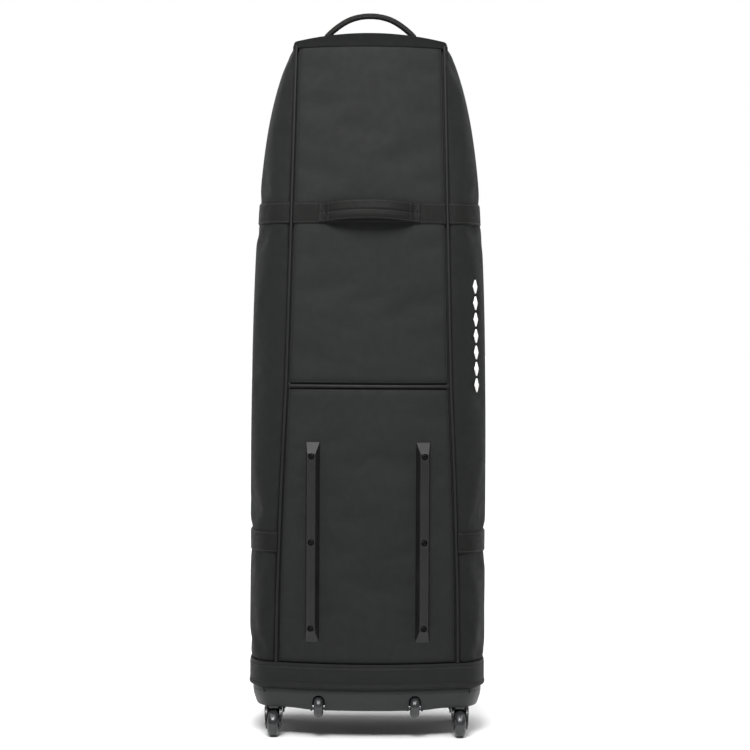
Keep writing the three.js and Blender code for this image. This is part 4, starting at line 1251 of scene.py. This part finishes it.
# %% The base band
BAND_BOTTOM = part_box("base_band")[0].z
BAND_COLUMNS = 360
BAND_PROFILE = [
    (-0.0016, 0.0006), (0.0010, 0.0), (0.0030, 0.0008), (0.0040, 0.0028), (0.0041, 0.0050),
    (0.0036, 0.0072), (0.0024, 0.0084), (0.0022, 0.0092), (0.0028, 0.0112), (0.0031, 0.0180),
    (0.0030, 0.0260), (0.0028, 0.0350), (0.0025, 0.0392), (0.0019, 0.0402), (0.0023, 0.0412),
    (0.0025, 0.0436), (0.0019, 0.0454), (0.0002, 0.0460),
]


def eased(points, rounds=16):
    """Softens the corners of closed rings, whose first and last points are the same."""
    ring = points[:, :-1]
    for _ in range(rounds):
        ring = (np.roll(ring, 1, axis=1) + 2 * ring + np.roll(ring, -1, axis=1)) / 4
    return np.concatenate([ring, ring[:, :1]], axis=1)


def swept(profile, columns=BAND_COLUMNS, low=0.0, shift=None):
    """Sweeps (out, up) points round the outline, and gives them and their cloth places."""
    around, row = np.meshgrid(np.linspace(0, 1, columns + 1), np.arange(len(profile)))
    out, up = np.asarray(profile, float).T
    points = eased(outline_point(around, TRAY_TOP + 0 * around, out[row]))
    points[..., 2] = low + up[row] if shift is None else shift(points, low + up[row])
    return points, np.stack([run_lengths(points, 1), run_lengths(points, 0)], axis=-1)


def swept_piece(name, outer, inner, material, sharp=50.0, **options):
    """A closed skirt: its outer profile up and its inner profile down."""
    profile = list(outer) + list(inner)[::-1]
    points, cloth = swept(profile + profile[:1], **options)
    return make(name, points, grid_faces(*points.shape[:2]), material, cloth, sharp=sharp)


band_inner = [(out - 0.0032, up) for out, up in BAND_PROFILE[3:]]
band_inner = [(-0.0022, 0.0012)] + [(min(out, -0.0008), up) for out, up in band_inner]
band = swept_piece("fabric_band", BAND_PROFILE, band_inner, band_cloth, low=BAND_BOTTOM)
place(band, "case", "shell_fabric", "base_band")
around = np.linspace(0, 1, BAND_COLUMNS + 1)
band_rows = []
for out, up in ((0.0030, 0.0375), (0.0030, 0.0098)):
    row = eased(outline_point(around, TRAY_TOP + 0 * around, out)[None])[0]
    row[:, 2] = BAND_BOTTOM + up
    band_rows.append(row)
stitch("band_stitches", band_rows, "case", "shell_fabric")

# %% [markdown]
# ## The moulded tray
# The tray is one injection moulding: a tapering skirt with two fine step lines under the
# band, a deck across it, a socket over each caster and a round-topped well for each inline
# wheel. The skirt is swept round the outline, and its lower edge rises over the casters. The
# wells are cut through it by a boolean, as a slide in the mould would leave them.

# %% The tray's skirt
CASTER_HEIGHT = 0.058
DECK_UNDER = TRAY_TOP - 0.004
SKIRT_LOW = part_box("base_tray")[0].z
CASTERS = {}
for corner in ("rear_left", "rear_right", "front_left", "front_right"):
    joint = next(j for j in frame["joints"] if j["name"] == f"caster_swivel_{corner}")
    CASTERS[corner] = (joint["pos_m"][0], joint["pos_m"][1])
SKIRT_OUTER = [
    (-0.0030, 0.0000), (-0.0024, -0.0010), (-0.0024, -0.0040), (-0.0034, -0.0046), (-0.0034, -0.0075),
    (-0.0027, -0.0082), (-0.0030, -0.0130), (-0.0038, -0.0180), (-0.0050, -0.0230), (-0.0066, -0.0280),
    (-0.0080, -0.0330), (-0.0092, -0.0370), (-0.0102, -0.0392), (-0.0114, -0.0396),
]


def skirt_edge(points, level):
    """Lifts the skirt's lower rows near the casters."""
    depth = np.clip((TRAY_TOP - level) / (TRAY_TOP - SKIRT_LOW), 0, 1)
    lift = 0
    for x, y in CASTERS.values():
        reach = np.hypot(points[..., 0] - x, points[..., 1] - y)
        lift = lift + 0.0032 / (1 + np.exp((reach - 0.062) / 0.007))
    return level + lift * depth**3


skirt_inner = [(out - 0.0035, up) for out, up in SKIRT_OUTER[:-1]]
tray_skirt = swept_piece(
    "tray_skirt", SKIRT_OUTER, skirt_inner, tray_plastic, low=TRAY_TOP, shift=skirt_edge, columns=288
)
INLINE = {}
for name in ("left", "right"):
    joint = next(j for j in frame["joints"] if j["name"] == f"inline_roll_{name}")
    INLINE[name] = joint["pos_m"]
WELL_HALF = 0.011
WELL_TOP = INLINE["left"][2] + 0.0215


def well_cutter(x, y, half, top, deep):
    """A round-topped slot, from behind the skirt's face to inside the tray."""
    turn = np.linspace(0, math.pi, 17)
    outline = [(x + half * math.cos(a), top - half + half * math.sin(a)) for a in turn]
    outline = [(x + half, 0.03)] + outline + [(x - half, 0.03)]
    count = len(outline)
    points = [(px, REAR_PLANE - 0.02, pz) for px, pz in outline] + [(px, deep, pz) for px, pz in outline]
    faces = [list(range(count)), list(range(count, 2 * count))[::-1]]
    faces += prism_sides(count)
    return make("well cutter", points, faces, tray_plastic)


cutters = [well_cutter(x, y, WELL_HALF, WELL_TOP, y + 0.024) for x, y, z in INLINE.values()]
carve(tray_skirt, cutters)
tray_skirt.data.set_sharp_from_angle(angle=math.radians(40))
print("skirt", len(tray_skirt.data.polygons), "faces, wells", len(INLINE))

# %% The tray's deck, sockets and wells
def plate_shape(low, high, out, columns=144):
    ring = outline_point(np.linspace(0, 1, columns, endpoint=False), TRAY_TOP + np.zeros(columns), out)
    points = np.concatenate([ring, ring])
    points[:columns, 2], points[columns:, 2] = low, high
    faces = [list(range(columns))[::-1], list(range(columns, 2 * columns))]
    return points, faces + prism_sides(columns), np.zeros((2 * columns, 2))


def tray_inside():
    shapes = [plate_shape(DECK_UNDER, TRAY_TOP, -0.0045)]
    joined, socket_foot = DECK_UNDER + 0.001, CASTER_HEIGHT + 0.0004
    foot_corners = ((0.0155, -1), (0.027, -1), (0.027, 1), (0.0155, 1))
    for x, y in CASTERS.values():
        socket = [
            (0.0056, socket_foot), (0.0150, socket_foot), (0.0165, CASTER_HEIGHT + 0.0016),
            (0.0168, DECK_UNDER - 0.004), (0.0200, joined), (0.0056, joined), (0.0056, socket_foot),
        ]
        shapes.append(lathe_shape(socket, (x, y, 0), "Z", 32))
        for turn in np.arange(4) * math.pi / 2 + math.pi / 4:
            reach = np.array([math.cos(turn), math.sin(turn)])
            spread = np.array([-reach[1], reach[0]]) * 0.0012
            foot = [np.array([x, y]) + reach * r + s * spread for r, s in foot_corners]
            low = [(*p, 0.0655 if k in (0, 3) else 0.082) for k, p in enumerate(foot)]
            high = [(*p, joined) for p in foot]
            shapes.append((low + high, BOX_FACES, np.zeros((8, 2))))
    for x, y, z in INLINE.values():
        back = y + 0.0225
        reach = WELL_HALF + 0.004
        shapes.append(box_shape((x - reach, back, SKIRT_LOW - 0.003), (x + reach, back + 0.003, joined)))
        for side in (-1, 1):
            inner, outer = x + side * WELL_HALF, x + side * (WELL_HALF + 0.004)
            low, high = min(inner, outer), max(inner, outer)
            shapes.append(box_shape((low, REAR_PLANE + 0.0155, z - 0.007), (high, back + 0.001, joined)))
    return joined_shapes(shapes)


points, faces, _ = tray_inside()
tray_frame = make("tray_frame", points, faces, tray_plastic, sharp=35.0)
bevelled(tray_frame, 0.0005, 1, 60)
place(tray_skirt, "case", "tray_plastic", "base_tray")
place(tray_frame, "case", "tray_plastic")

rim_outer = [(-0.0026, -0.002), (-0.0026, 0.040), (-0.0032, 0.0415)]
rim_inner = [(-0.0066, -0.002), (-0.0066, 0.040), (-0.0060, 0.0415)]
tray_rim = swept_piece("tray_rim", rim_outer, rim_inner, tray_plastic, low=TRAY_TOP, columns=144)
place(tray_rim, "case", "tray_plastic")

# Dark nubs under each side of the tray: small feet whose dark rubber also paints the shade under the
# tray's sides.
stud_shapes = []
for side in (-1, 1):
    for y in (-0.045, 0.05):
        turn = np.linspace(-math.pi / 2, math.pi / 2, 9)
        dome = [(0.0042 * math.cos(a), 0.0052 * math.sin(a)) for a in turn]
        stud_shapes.append(lathe_shape(dome, (side * (CASE_WIDTH / 2 - 0.0150), y, 0.0585), "Z", 20))
points, faces, _ = joined_shapes(stud_shapes)
studs = make("tray_studs", points, faces, stud_rubber_and_painted_shade, sharp=60.0)
place(studs, "case", "tray_plastic")
print("tray", len(tray_skirt.data.polygons), len(tray_frame.data.polygons))

# %% [markdown]
# ## Skid rails
# The two rails take the wear when the case is pulled up steps. Each is a trapezium bar with
# a long ramp at both ends, fine ribs along its face and three sunk screw seats. Cutting the
# bar by its height gives the ramps their widening shape, as the real moulding has. The
# screws repeat, so they are one shape that Geometry Nodes places.

# %% Skid rails
RAIL_BOTTOM, RAIL_LENGTH = RAIL_LOW.z, RAIL_HIGH.z - RAIL_LOW.z
RAIL_FOOT, RAIL_CROWN, RAIL_RISE, RAIL_RAMP = 0.013, 0.008, 0.013, 0.021
SCREW_END, SCREW_HEAD, SCREW_SINK = 0.005, 0.005, 0.0038
RAIL_CENTRE = 0.1
RAIL_TURN = math.asin(RAIL_CENTRE / REAR_RADIUS)
SCREW_LEVELS = [RAIL_RAMP + SCREW_END, RAIL_LENGTH / 2, RAIL_LENGTH - RAIL_RAMP - SCREW_END]


def on_rail(side, across, out, up):
    """A place on a rail, from its own across, out and up to the case's frame."""
    cos, sin = math.cos(RAIL_TURN), side * math.sin(RAIL_TURN)
    foot_x = side * RAIL_CENTRE
    foot_y = float(rear_face(np.array(RAIL_CENTRE), RAIL_BOTTOM)) - GAP
    across, out, up = np.broadcast_arrays(across, out, up)
    x = foot_x + across * cos + out * sin
    y = foot_y + across * sin - out * cos
    return np.stack([x, y, RAIL_BOTTOM + up], axis=-1)


def rail_mesh(side, name):
    ribs = 5
    crown = np.linspace(-1, 1, 8 * ribs + 1)
    ramp = np.linspace(0.003, RAIL_RAMP - 0.0012, 6)
    edge = [RAIL_RAMP, RAIL_RAMP + 0.0012, RAIL_RAMP + 0.0024]
    level = np.linspace(RAIL_RAMP + 0.006, RAIL_LENGTH / 2, 14)
    ups = np.concatenate([[0.0, 0.0008], ramp, edge, level])
    ups = np.unique(np.concatenate([ups, RAIL_LENGTH - ups]).round(6))
    height = RAIL_RISE * np.clip(np.minimum(ups, RAIL_LENGTH - ups) / RAIL_RAMP, 0.03, 1)
    half = mixed(RAIL_FOOT, RAIL_CROWN, height / RAIL_RISE)
    ribbed = np.clip((np.minimum(ups, RAIL_LENGTH - ups) - RAIL_RAMP - 0.0006) / 0.0015, 0, 1)
    groove = 0.00045 * (0.5 - 0.5 * np.cos((crown + 1) * ribs * math.pi)) * (abs(crown) < 0.98)
    across = half[:, None] * crown[None]
    out = height[:, None] - groove[None] * ribbed[:, None] - 0.0004 * (abs(crown) == 1)[None]
    foot = np.full((len(ups), 1), RAIL_FOOT)
    low = np.full((len(ups), 1), 0.0004)
    across = np.hstack([-foot, -foot, across, foot, foot, -foot])
    out = np.hstack([0 * low, low, out, low, 0 * low, 0 * low])
    points = on_rail(side, across, out, ups[:, None])
    rows, columns = across.shape
    faces = grid_faces(rows, columns)
    faces += [list(range(columns - 1)), [(rows - 1) * columns + k for k in range(columns - 1)][::-1]]
    rail = make(name, points, faces, rail_plastic, sharp=24.0)
    seats = []
    free = SCREW_HEAD + GAP
    ring = [(free + 0.0001, -SCREW_SINK), (free + 0.0006, 0.002), (0, 0.002), (0, -SCREW_SINK)]
    radius, along = np.array(ring).T
    turn = np.linspace(0, 2 * math.pi, 29)[:, None]
    for level in SCREW_LEVELS:
        up = level + radius * np.sin(turn)
        seat = on_rail(side, radius * np.cos(turn), RAIL_RISE + along + 0 * turn, up)
        seats.append(make("seat cutter", seat.reshape(-1, 3), grid_faces(29, 4), rail_plastic))
    carve(rail, seats)
    rail.data.set_sharp_from_angle(angle=math.radians(24))
    return bevelled(rail, 0.0006, 2, 35)


for name, side in SIDES:
    rail = rail_mesh(side, f"ribbed_rail_{name}")
    place(rail, "case", "rail_plastic", f"skid_rail_{name}")
    print("rail", name, round(RAIL_LENGTH, 4), "m long")

# %% Rail screws
def screw_shape():
    """A pan head with a hexagonal socket, standing on the origin."""
    profile = [
        (0.0, -0.002), (0.0022, -0.002), (0.0022, 0.0), (SCREW_HEAD, 0.0), (SCREW_HEAD, 0.0009),
        (0.0047, 0.0019), (0.0040, 0.0026), (0.0029, 0.0031), (0.0, 0.0032), (0.0, -0.002),
    ]
    head = lathe("screw head", profile, (0, 0, 0), screw_coating, "Z", 32)
    turn = np.arange(6) * math.pi / 3
    ring = [(0.0018 * math.cos(a), 0.0018 * math.sin(a)) for a in turn]
    points = [(x, y, 0.0012) for x, y in ring] + [(x, y, 0.006) for x, y in ring]
    faces = [list(range(6))[::-1], list(range(6, 12))] + prism_sides(6)
    return carve(head, [make("hexagon", points, faces, screw_coating)])


def placed_copies_tree():
    tree, keys = new_tree(
        "placed copies", "Copies", Places="Geometry", Shape="Object", Finish="Material"
    )
    nodes, links = tree.nodes, tree.links
    given, result = nodes.new("NodeGroupInput"), nodes.new("NodeGroupOutput")
    shape, facing = nodes.new("GeometryNodeObjectInfo"), nodes.new("GeometryNodeInputNamedAttribute")
    facing.data_type = "FLOAT_VECTOR"
    facing.inputs["Name"].default_value = "facing"
    turn = nodes.new("FunctionNodeAlignRotationToVector")
    turn.axis = "Z"
    copies = nodes.new("GeometryNodeInstanceOnPoints")
    real, dress = nodes.new("GeometryNodeRealizeInstances"), nodes.new("GeometryNodeSetMaterial")
    links.new(given.outputs["Places"], copies.inputs["Points"])
    links.new(given.outputs["Shape"], shape.inputs["Object"])
    links.new(shape.outputs["Geometry"], copies.inputs["Instance"])
    links.new(facing.outputs["Attribute"], turn.inputs["Vector"])
    links.new(turn.outputs["Rotation"], copies.inputs["Rotation"])
    links.new(copies.outputs["Instances"], real.inputs["Geometry"])
    links.new(real.outputs["Geometry"], dress.inputs["Geometry"])
    links.new(given.outputs["Finish"], dress.inputs["Material"])
    links.new(dress.outputs["Geometry"], result.inputs["Copies"])
    return tree, keys


COPY_TREE, COPY_INPUT = placed_copies_tree()


def placed_copies(name, places, facing, shape, material):
    mesh = bpy.data.meshes.new(name)
    mesh.from_pydata([tuple(p) for p in places], [], [])
    mesh.attributes.new("facing", "FLOAT_VECTOR", "POINT").data.foreach_set("vector", np.ravel(facing))
    obj = linked(name, mesh)
    copies = obj.modifiers.new("copies", "NODES")
    copies.node_group = COPY_TREE
    copies[COPY_INPUT["Shape"]] = shape
    copies[COPY_INPUT["Finish"]] = material
    plain(obj)
    bpy.data.objects.remove(shape)
    return obj


screw_places, screw_facing = [], []
for side in (-1, 1):
    for level in SCREW_LEVELS:
        seat = on_rail(side, 0.0, RAIL_RISE - SCREW_SINK + GAP, level)
        screw_places.append(seat)
        screw_facing.append(on_rail(side, 0.0, 1.0, level) - on_rail(side, 0.0, 0.0, level))
screws = placed_copies("rail_screws", screw_places, screw_facing, screw_shape(), screw_coating)
screw_nodes = [f"rail_screw_{name}_{k}" for name in ("left", "right") for k in (1, 2, 3)]
place(screws, "case", "black_screw", *screw_nodes)
print("rails and", len(screw_places), "screws")

# %% [markdown]
# ## Wheels
# Each caster is a hooded fork that swivels on a stem, and a wheel with a rounded tread that
# rolls in it. The wheels are lathed from half a section, mirrored. A fine line round the
# middle of the tread is where the mould's halves met. The two inline wheels are the same
# shape, smaller, on plain axles in the tray's wells.

# %% Wheels
def wheel_profile(radius, half):
    """The section of a wheel, from its bore out round the tread and back."""
    bore = 0.0034
    shoulder = radius - 0.0062
    face = [
        (bore, -half + 0.0014), (0.0062, -half + 0.0014), (0.0068, -half + 0.0024),
        (shoulder - 0.0035, -half + 0.0026), (shoulder - 0.0022, -half + 0.0006), (shoulder, -half),
    ]
    reach = np.linspace(-1, 0, 9)[1:-1]
    tread = [(shoulder + (radius - shoulder) * (1 - abs(t) ** 2.3) ** 0.62, half * t) for t in reach]
    parting = [(radius - 0.0001, -0.0005), (radius + 0.00012, -0.0002)]
    side = face + tread + parting
    return side + [(r, -x) for r, x in side[::-1]] + side[:1]


def fork_mesh(name, x, y, axle_y, axle_z):
    """Two cheeks round the wheel under a domed crown, with the stem above it."""
    half_inner, wall_thick = 0.0110, 0.0050
    shapes = []
    for side in (-1, 1):
        low_turn = np.linspace(math.radians(200), math.radians(350), 12)
        ear = [(axle_y + 0.0105 * math.cos(a), axle_z + 0.0105 * math.sin(a)) for a in low_turn]
        outline = [(y + 0.0128, CASTER_HEIGHT - 0.003), (y + 0.0135, CASTER_HEIGHT - 0.0075)]
        outline = ear + [(y + 0.0065, 0.0365), (y + 0.0128, 0.0480)] + outline
        outline += [(y - 0.0152, CASTER_HEIGHT - 0.003), (y - 0.0178, 0.0460), (axle_y - 0.0104, 0.0330)]
        start, stop = x + side * half_inner, x + side * (half_inner + wall_thick)
        taper = [0.0 if pz > 0.045 else (0.045 - pz) * 0.09 for _, pz in outline]
        inner = [(start, py, pz) for py, pz in outline]
        outer = [(stop - side * t, py, pz) for t, (py, pz) in zip(taper, outline)]
        count = len(outline)
        faces = [list(range(count)), list(range(count, 2 * count))[::-1]]
        faces += prism_sides(count)
        shapes.append((inner + outer, faces, np.zeros((2 * count, 2))))
    shapes.append(box_shape((x - 0.0125, y + 0.0102, 0.0260), (x + 0.0125, y + 0.0136, 0.0530)))
    crown = [
        (0.0, 0.0502), (0.0150, 0.0502), (0.0164, 0.0508), (0.0170, 0.0522), (0.0171, 0.0560),
        (0.0166, 0.0573), (0.0152, 0.0578), (0.0050, 0.0578), (0.0048, 0.0790), (0.0, 0.0792),
        (0.0, 0.0502),
    ]
    shapes.append(lathe_shape(crown, (x, y, 0), "Z", 40))
    points, faces, _ = joined_shapes(shapes)
    fork = make(name, points, faces, fork_plastic, sharp=42.0)
    return bevelled(fork, 0.0011, 3, 42)


def axle_mesh(name, half_length, y, z, x, material, radius=0.003):
    """A steel pin with a shallow domed head at each end."""
    end = -half_length
    side = [(0.0, end - 0.0009), (0.0022, end - 0.0007), (0.0036, end - 0.0002)]
    side += [(0.0036, end + 0.0001), (radius - 0.0001, end + 0.0001)]
    profile = side + [(r, -a) for r, a in side[::-1]]
    return lathe(name, profile, (x, y, z), material, "X", 24, 50.0)


for corner, (x, y) in CASTERS.items():
    low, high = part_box(f"caster_wheel_{corner}")
    axle_y, axle_z = (low.y + high.y) / 2, (low.z + high.z) / 2
    profile = wheel_profile((high.z - low.z) / 2, (high.x - low.x) / 2)
    wheel = lathe(f"swivel_wheel_{corner}", profile, (x, axle_y, axle_z), tread_rubber)
    place(wheel, f"caster_roller_{corner}", "tread", f"caster_wheel_{corner}")
    fork = fork_mesh(f"fork_{corner}", x, y, axle_y, axle_z)
    place(fork, f"caster_{corner}", "fork_plastic", f"caster_fork_{corner}")
    axle = axle_mesh(f"swivel_axle_{corner}", 0.0148, axle_y, axle_z, x, pin_coating)
    place(axle, f"caster_{corner}", "axle_steel", f"caster_axle_{corner}")

for name, (x, y, z) in INLINE.items():
    low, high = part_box(f"inline_wheel_{name}")
    profile = wheel_profile((high.z - low.z) / 2, (high.x - low.x) / 2)
    wheel = lathe(f"step_wheel_{name}", profile, (x, y, z), tread_rubber)
    place(wheel, f"inline_roller_{name}", "tread", f"inline_wheel_{name}")
    axle = axle_mesh(f"step_axle_{name}", 0.0108, y, z, x, axle_steel, 0.0031)
    place(axle, "case", "axle_steel", f"inline_axle_{name}")
print("wheels", len(CASTERS) + len(INLINE))

# %% [markdown]
# ## The lid and its zip
# The whole front opens: a padded lid, zipped on three sides and hinged along its foot by a
# strip of cloth. The zip is two tapes with a nylon coil on each, one sewn to the gussets and
# one to the lid, and they must part when the lid opens, so every half is a piece of its own.
# The hinge strip crosses the joint.

# %% The lid
LID_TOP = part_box("lid_panel")[1].z
POCKETS = {name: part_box(name) for name in ("pocket_lower", "pocket_upper")}


def lid_grid():
    columns, rows = round(0.31 / CLOTH_STEP), round((LID_TOP - WALL_BOTTOM) / CLOTH_STEP)
    u, v = shares(columns, rows)
    z = mixed(WALL_BOTTOM, LID_TOP, v)
    x = (2 * u - 1) * (lid_half(z) - ZIP_SLOT)
    return stacked(x, front_face(z), z)


lid_outer = lid_grid()
under_pocket = np.zeros(lid_outer.shape[:2], bool)
lid_z, lid_reach = lid_outer[..., 2], lid_half(lid_outer[..., 2]) - ZIP_SLOT - 0.012
for low, high in POCKETS.values():
    beside = (lid_z > low.z - 0.004) & (lid_z < high.z + 0.004)
    under_pocket |= beside & (abs(lid_outer[..., 0]) < lid_reach)
lid = padded_wall("padded_lid", lid_outer, LID_WALL, (0, 0, 0.7), under_pocket, seed=21, most=0.0035)
place(lid, "lid", "shell_fabric", "lid_panel")
print("lid", lid_outer.shape, "with", int(under_pocket.sum()), "points under the pockets")

# %% The zip tapes and coils
ZIP_TOP = LID_TOP + ZIP_SLOT


def zip_line(out, recess, count=220):
    """The zip's path at a distance outside its middle line: up, across and down."""
    top = ZIP_TOP + out
    corner = 0.012
    z_up = np.linspace(WALL_BOTTOM, top - corner, count)
    turn = np.linspace(0, math.pi / 2, 9)[1:-1]
    half = lid_half(top) + out
    bend_z = top - corner + corner * np.sin(turn)
    bend_x = half - corner + corner * np.cos(turn)
    x_level = np.linspace(half - corner, 0, 40)
    x = np.concatenate([lid_half(z_up) + out, bend_x, x_level])
    z = np.concatenate([z_up, bend_z, np.full(40, top)])
    x, z = np.concatenate([x, -x[-2::-1]]), np.concatenate([z, z[-2::-1]])
    return stacked(x, front_face(z) - recess, z)


def tape(name, inner_edge, outer_edge):
    """A woven tape between two edges, standing a little prouder next to the coil."""
    steps = np.linspace(0, 1, 6)
    lines = [zip_line(mixed(inner_edge, outer_edge, s), 0.0012 + 0.0010 * s) for s in steps]
    outer = np.stack(lines, axis=1)
    inner = outer - (0, 0.0016, 0)
    return wall(name, outer, inner, tape_cloth, sharp=60.0)


COIL_SIZE = (0.0034, 0.0018, 0.0011)
COIL_PITCH = 0.0015
for body, sign in (("case", 1), ("lid", -1)):
    half_tape = tape(f"{body}_zip_tape", sign * GAP / 2, sign * ZIP_HALF)
    place(half_tape, body, "zip_tape", f"zip_tape_{body}")
    coil_line = zip_line(sign * 0.0017, 0.0006)
    coil = bead_rows(f"{body}_zip_coil", [coil_line], COIL_PITCH, COIL_SIZE, coil_nylon)
    place(coil, body, "zip_tape")
    stitch(f"{body}_zip_stitches", [zip_line(sign * 0.0062, 0.0009)], body, "zip_tape")

# %% The cloth hinge
HINGE_HEIGHT, HINGE_WIDTH = 0.1386, 0.026
u, v = shares(40, 10)
hinge_z = HINGE_HEIGHT + (v - 0.5) * HINGE_WIDTH
hinge_x = (2 * u - 1) * (lid_half(HINGE_HEIGHT) - ZIP_SLOT - 0.004)
hinge_strip = wall(
    "lid_hinge_strip", stacked(hinge_x, FRONT_PLANE + 0.0031, hinge_z),
    stacked(hinge_x, FRONT_PLANE + 0.0021, hinge_z), strap_webbing, sharp=60.0,
)
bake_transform(hinge_strip)
print("hinge strip", round(float(np.ptp(hinge_x)), 3), "by", HINGE_WIDTH, "m")

# %% [markdown]
# ## The front pockets
# Two zipped pockets sit on the lid. Each is a low padded box: a welt round its edge, a face
# that swells over what is inside, and a zip across near the top, with a slider and a pull.

# %% The front pockets
POCKET_ROUND = 0.025
ZIP_DROP = 0.034


def spread(share):
    """Moves even shares towards both ends, where a pocket's face curves most."""
    return mixed(share, 0.5 - 0.5 * np.cos(math.pi * share), 0.55)


def pocket_grid(low_z, high_z, depth):
    u, v = shares(40, round((high_z - low_z) / 0.008))
    z = mixed(low_z, high_z, spread(v))
    half = lid_half(z) - ZIP_SLOT - 0.014
    x = (2 * spread(u) - 1) * half
    inside = np.minimum.reduce([half - abs(x), z - low_z, high_z - z])
    swell = 1 - (1 - np.clip(inside / POCKET_ROUND, 0, 1)) ** 2.2
    from_zip = z - (high_z - ZIP_DROP)
    zip_dip = 0.0016 * np.exp(-((from_zip / 0.005) ** 2)) * np.clip(inside / 0.02, 0, 1)
    face = stacked(x, front_face(z) + 0.001 + depth * (0.15 + 0.85 * swell) - zip_dip, z)
    held = abs(from_zip) < 0.008
    back = stacked(x, front_face(z) + 0.0012, z)
    return face, back, held


for name, (low, high) in POCKETS.items():
    depth = 0.019 if name == "pocket_lower" else 0.015
    face, back, held = pocket_grid(low.z, high.z, depth)
    skin = settle(face, held, 31 + len(name), pressure=0.4, slack=0.004, most=0.0025)
    skin[..., 1] = np.minimum(skin[..., 1], face[..., 1] + 0.0022)
    label = name.replace("pocket_", "")
    pocket = wall(f"front_pocket_{label}", skin, back, [shell_cloth, lining_cloth], sharp=70.0)
    place(softened(pocket), "lid", "shell_fabric", name)
    zip_z = high.z - ZIP_DROP
    reach = float(lid_half(zip_z)) - ZIP_SLOT - 0.014 - POCKET_ROUND + 0.006
    x = np.linspace(-reach, reach, 60)
    level = float(front_face(zip_z)) + 0.001 + depth
    u, v = shares(60, 4)
    tape_x, tape_z = (2 * u - 1) * (reach + 0.004), zip_z + (v - 0.5) * 0.016
    tape_y = level - 0.0008 + 0 * u
    tape_top = stacked(tape_x, tape_y, tape_z)
    tape_back = stacked(tape_x, tape_y - 0.0012, tape_z)
    pocket_tape = wall(f"pocket_tape_{label}", tape_top, tape_back, tape_cloth)
    place(pocket_tape, "lid", "zip_tape")
    lines = [stacked(x, level - 0.0002, zip_z + side * 0.0016) for side in (-1, 1)]
    pocket_coil = bead_rows(f"pocket_coil_{label}", lines, COIL_PITCH, COIL_SIZE, coil_nylon)
    place(pocket_coil, "lid", "zip_tape")
    lines = [stacked(x, level + 0.0001, zip_z + side * 0.0068) for side in (-1, 1)]
    stitch(f"pocket_stitches_{label}", lines, "lid", "zip_tape")
    rise_z = np.linspace(low.z, high.z, 60)
    half_at = lid_half(rise_z) - ZIP_SLOT - 0.0135
    level_x = np.linspace(-1, 1, 40)
    edge_x = np.concatenate([-half_at, level_x * half_at[-1], half_at[::-1], -level_x * half_at[0]])
    edge_z = np.concatenate([rise_z, np.full(40, high.z), rise_z[::-1], np.full(40, low.z)])
    edge = stacked(edge_x, front_face(edge_z) + 0.0028, edge_z)
    points, faces, cloth = tube_shape(edge, 0.0021, 8)
    welt = make(f"pocket_welt_{label}", points, faces, piping_cover, cloth)
    place(welt, "lid", "piping_cord")
    print("pocket", label, round(high.z - low.z, 3), "m high")

# %% [markdown]
# ## Sliders, pulls, boards and the inner strap
# The small hard pieces are right in the frame already, and only lack rounded edges and a
# real finish. Each is a merged copy of its solid with a narrow bevel.

# %% Sliders, pulls, boards and the inner strap
def refine(piece, node, body, slot, finish, bevel, *options):
    return place(refined(piece, node, finish, bevel, *options), body, slot, node)


for zip_name in ("zip_left", "zip_right", "pocket_lower", "pocket_upper"):
    for node, ending in ((f"{zip_name}_slider", "body"), (f"{zip_name}_pull", "tab")):
        refine(f"{node}_{ending}", node, node, "zip_metal", gunmetal, 0.0005)
refine("rail_backing_board", "back_board", "case", "board", board_sheet, 0.0006, 2, 0.5)
refine("bag_floor_board", "floor_board", "case", "board", board_sheet, 0.0008, 2, 0.5)
refine("buckle_socket_half", "buckle_socket", "case", "fork_plastic", buckle_plastic, 0.0008)
refine("buckle_plug_half", "buckle_plug", "buckle_plug", "fork_plastic", buckle_plastic, 0.0008)
for name, _ in SIDES:
    refine(f"cinch_strap_{name}", f"strap_{name}", "case", "webbing", strap_webbing, 0.0004)
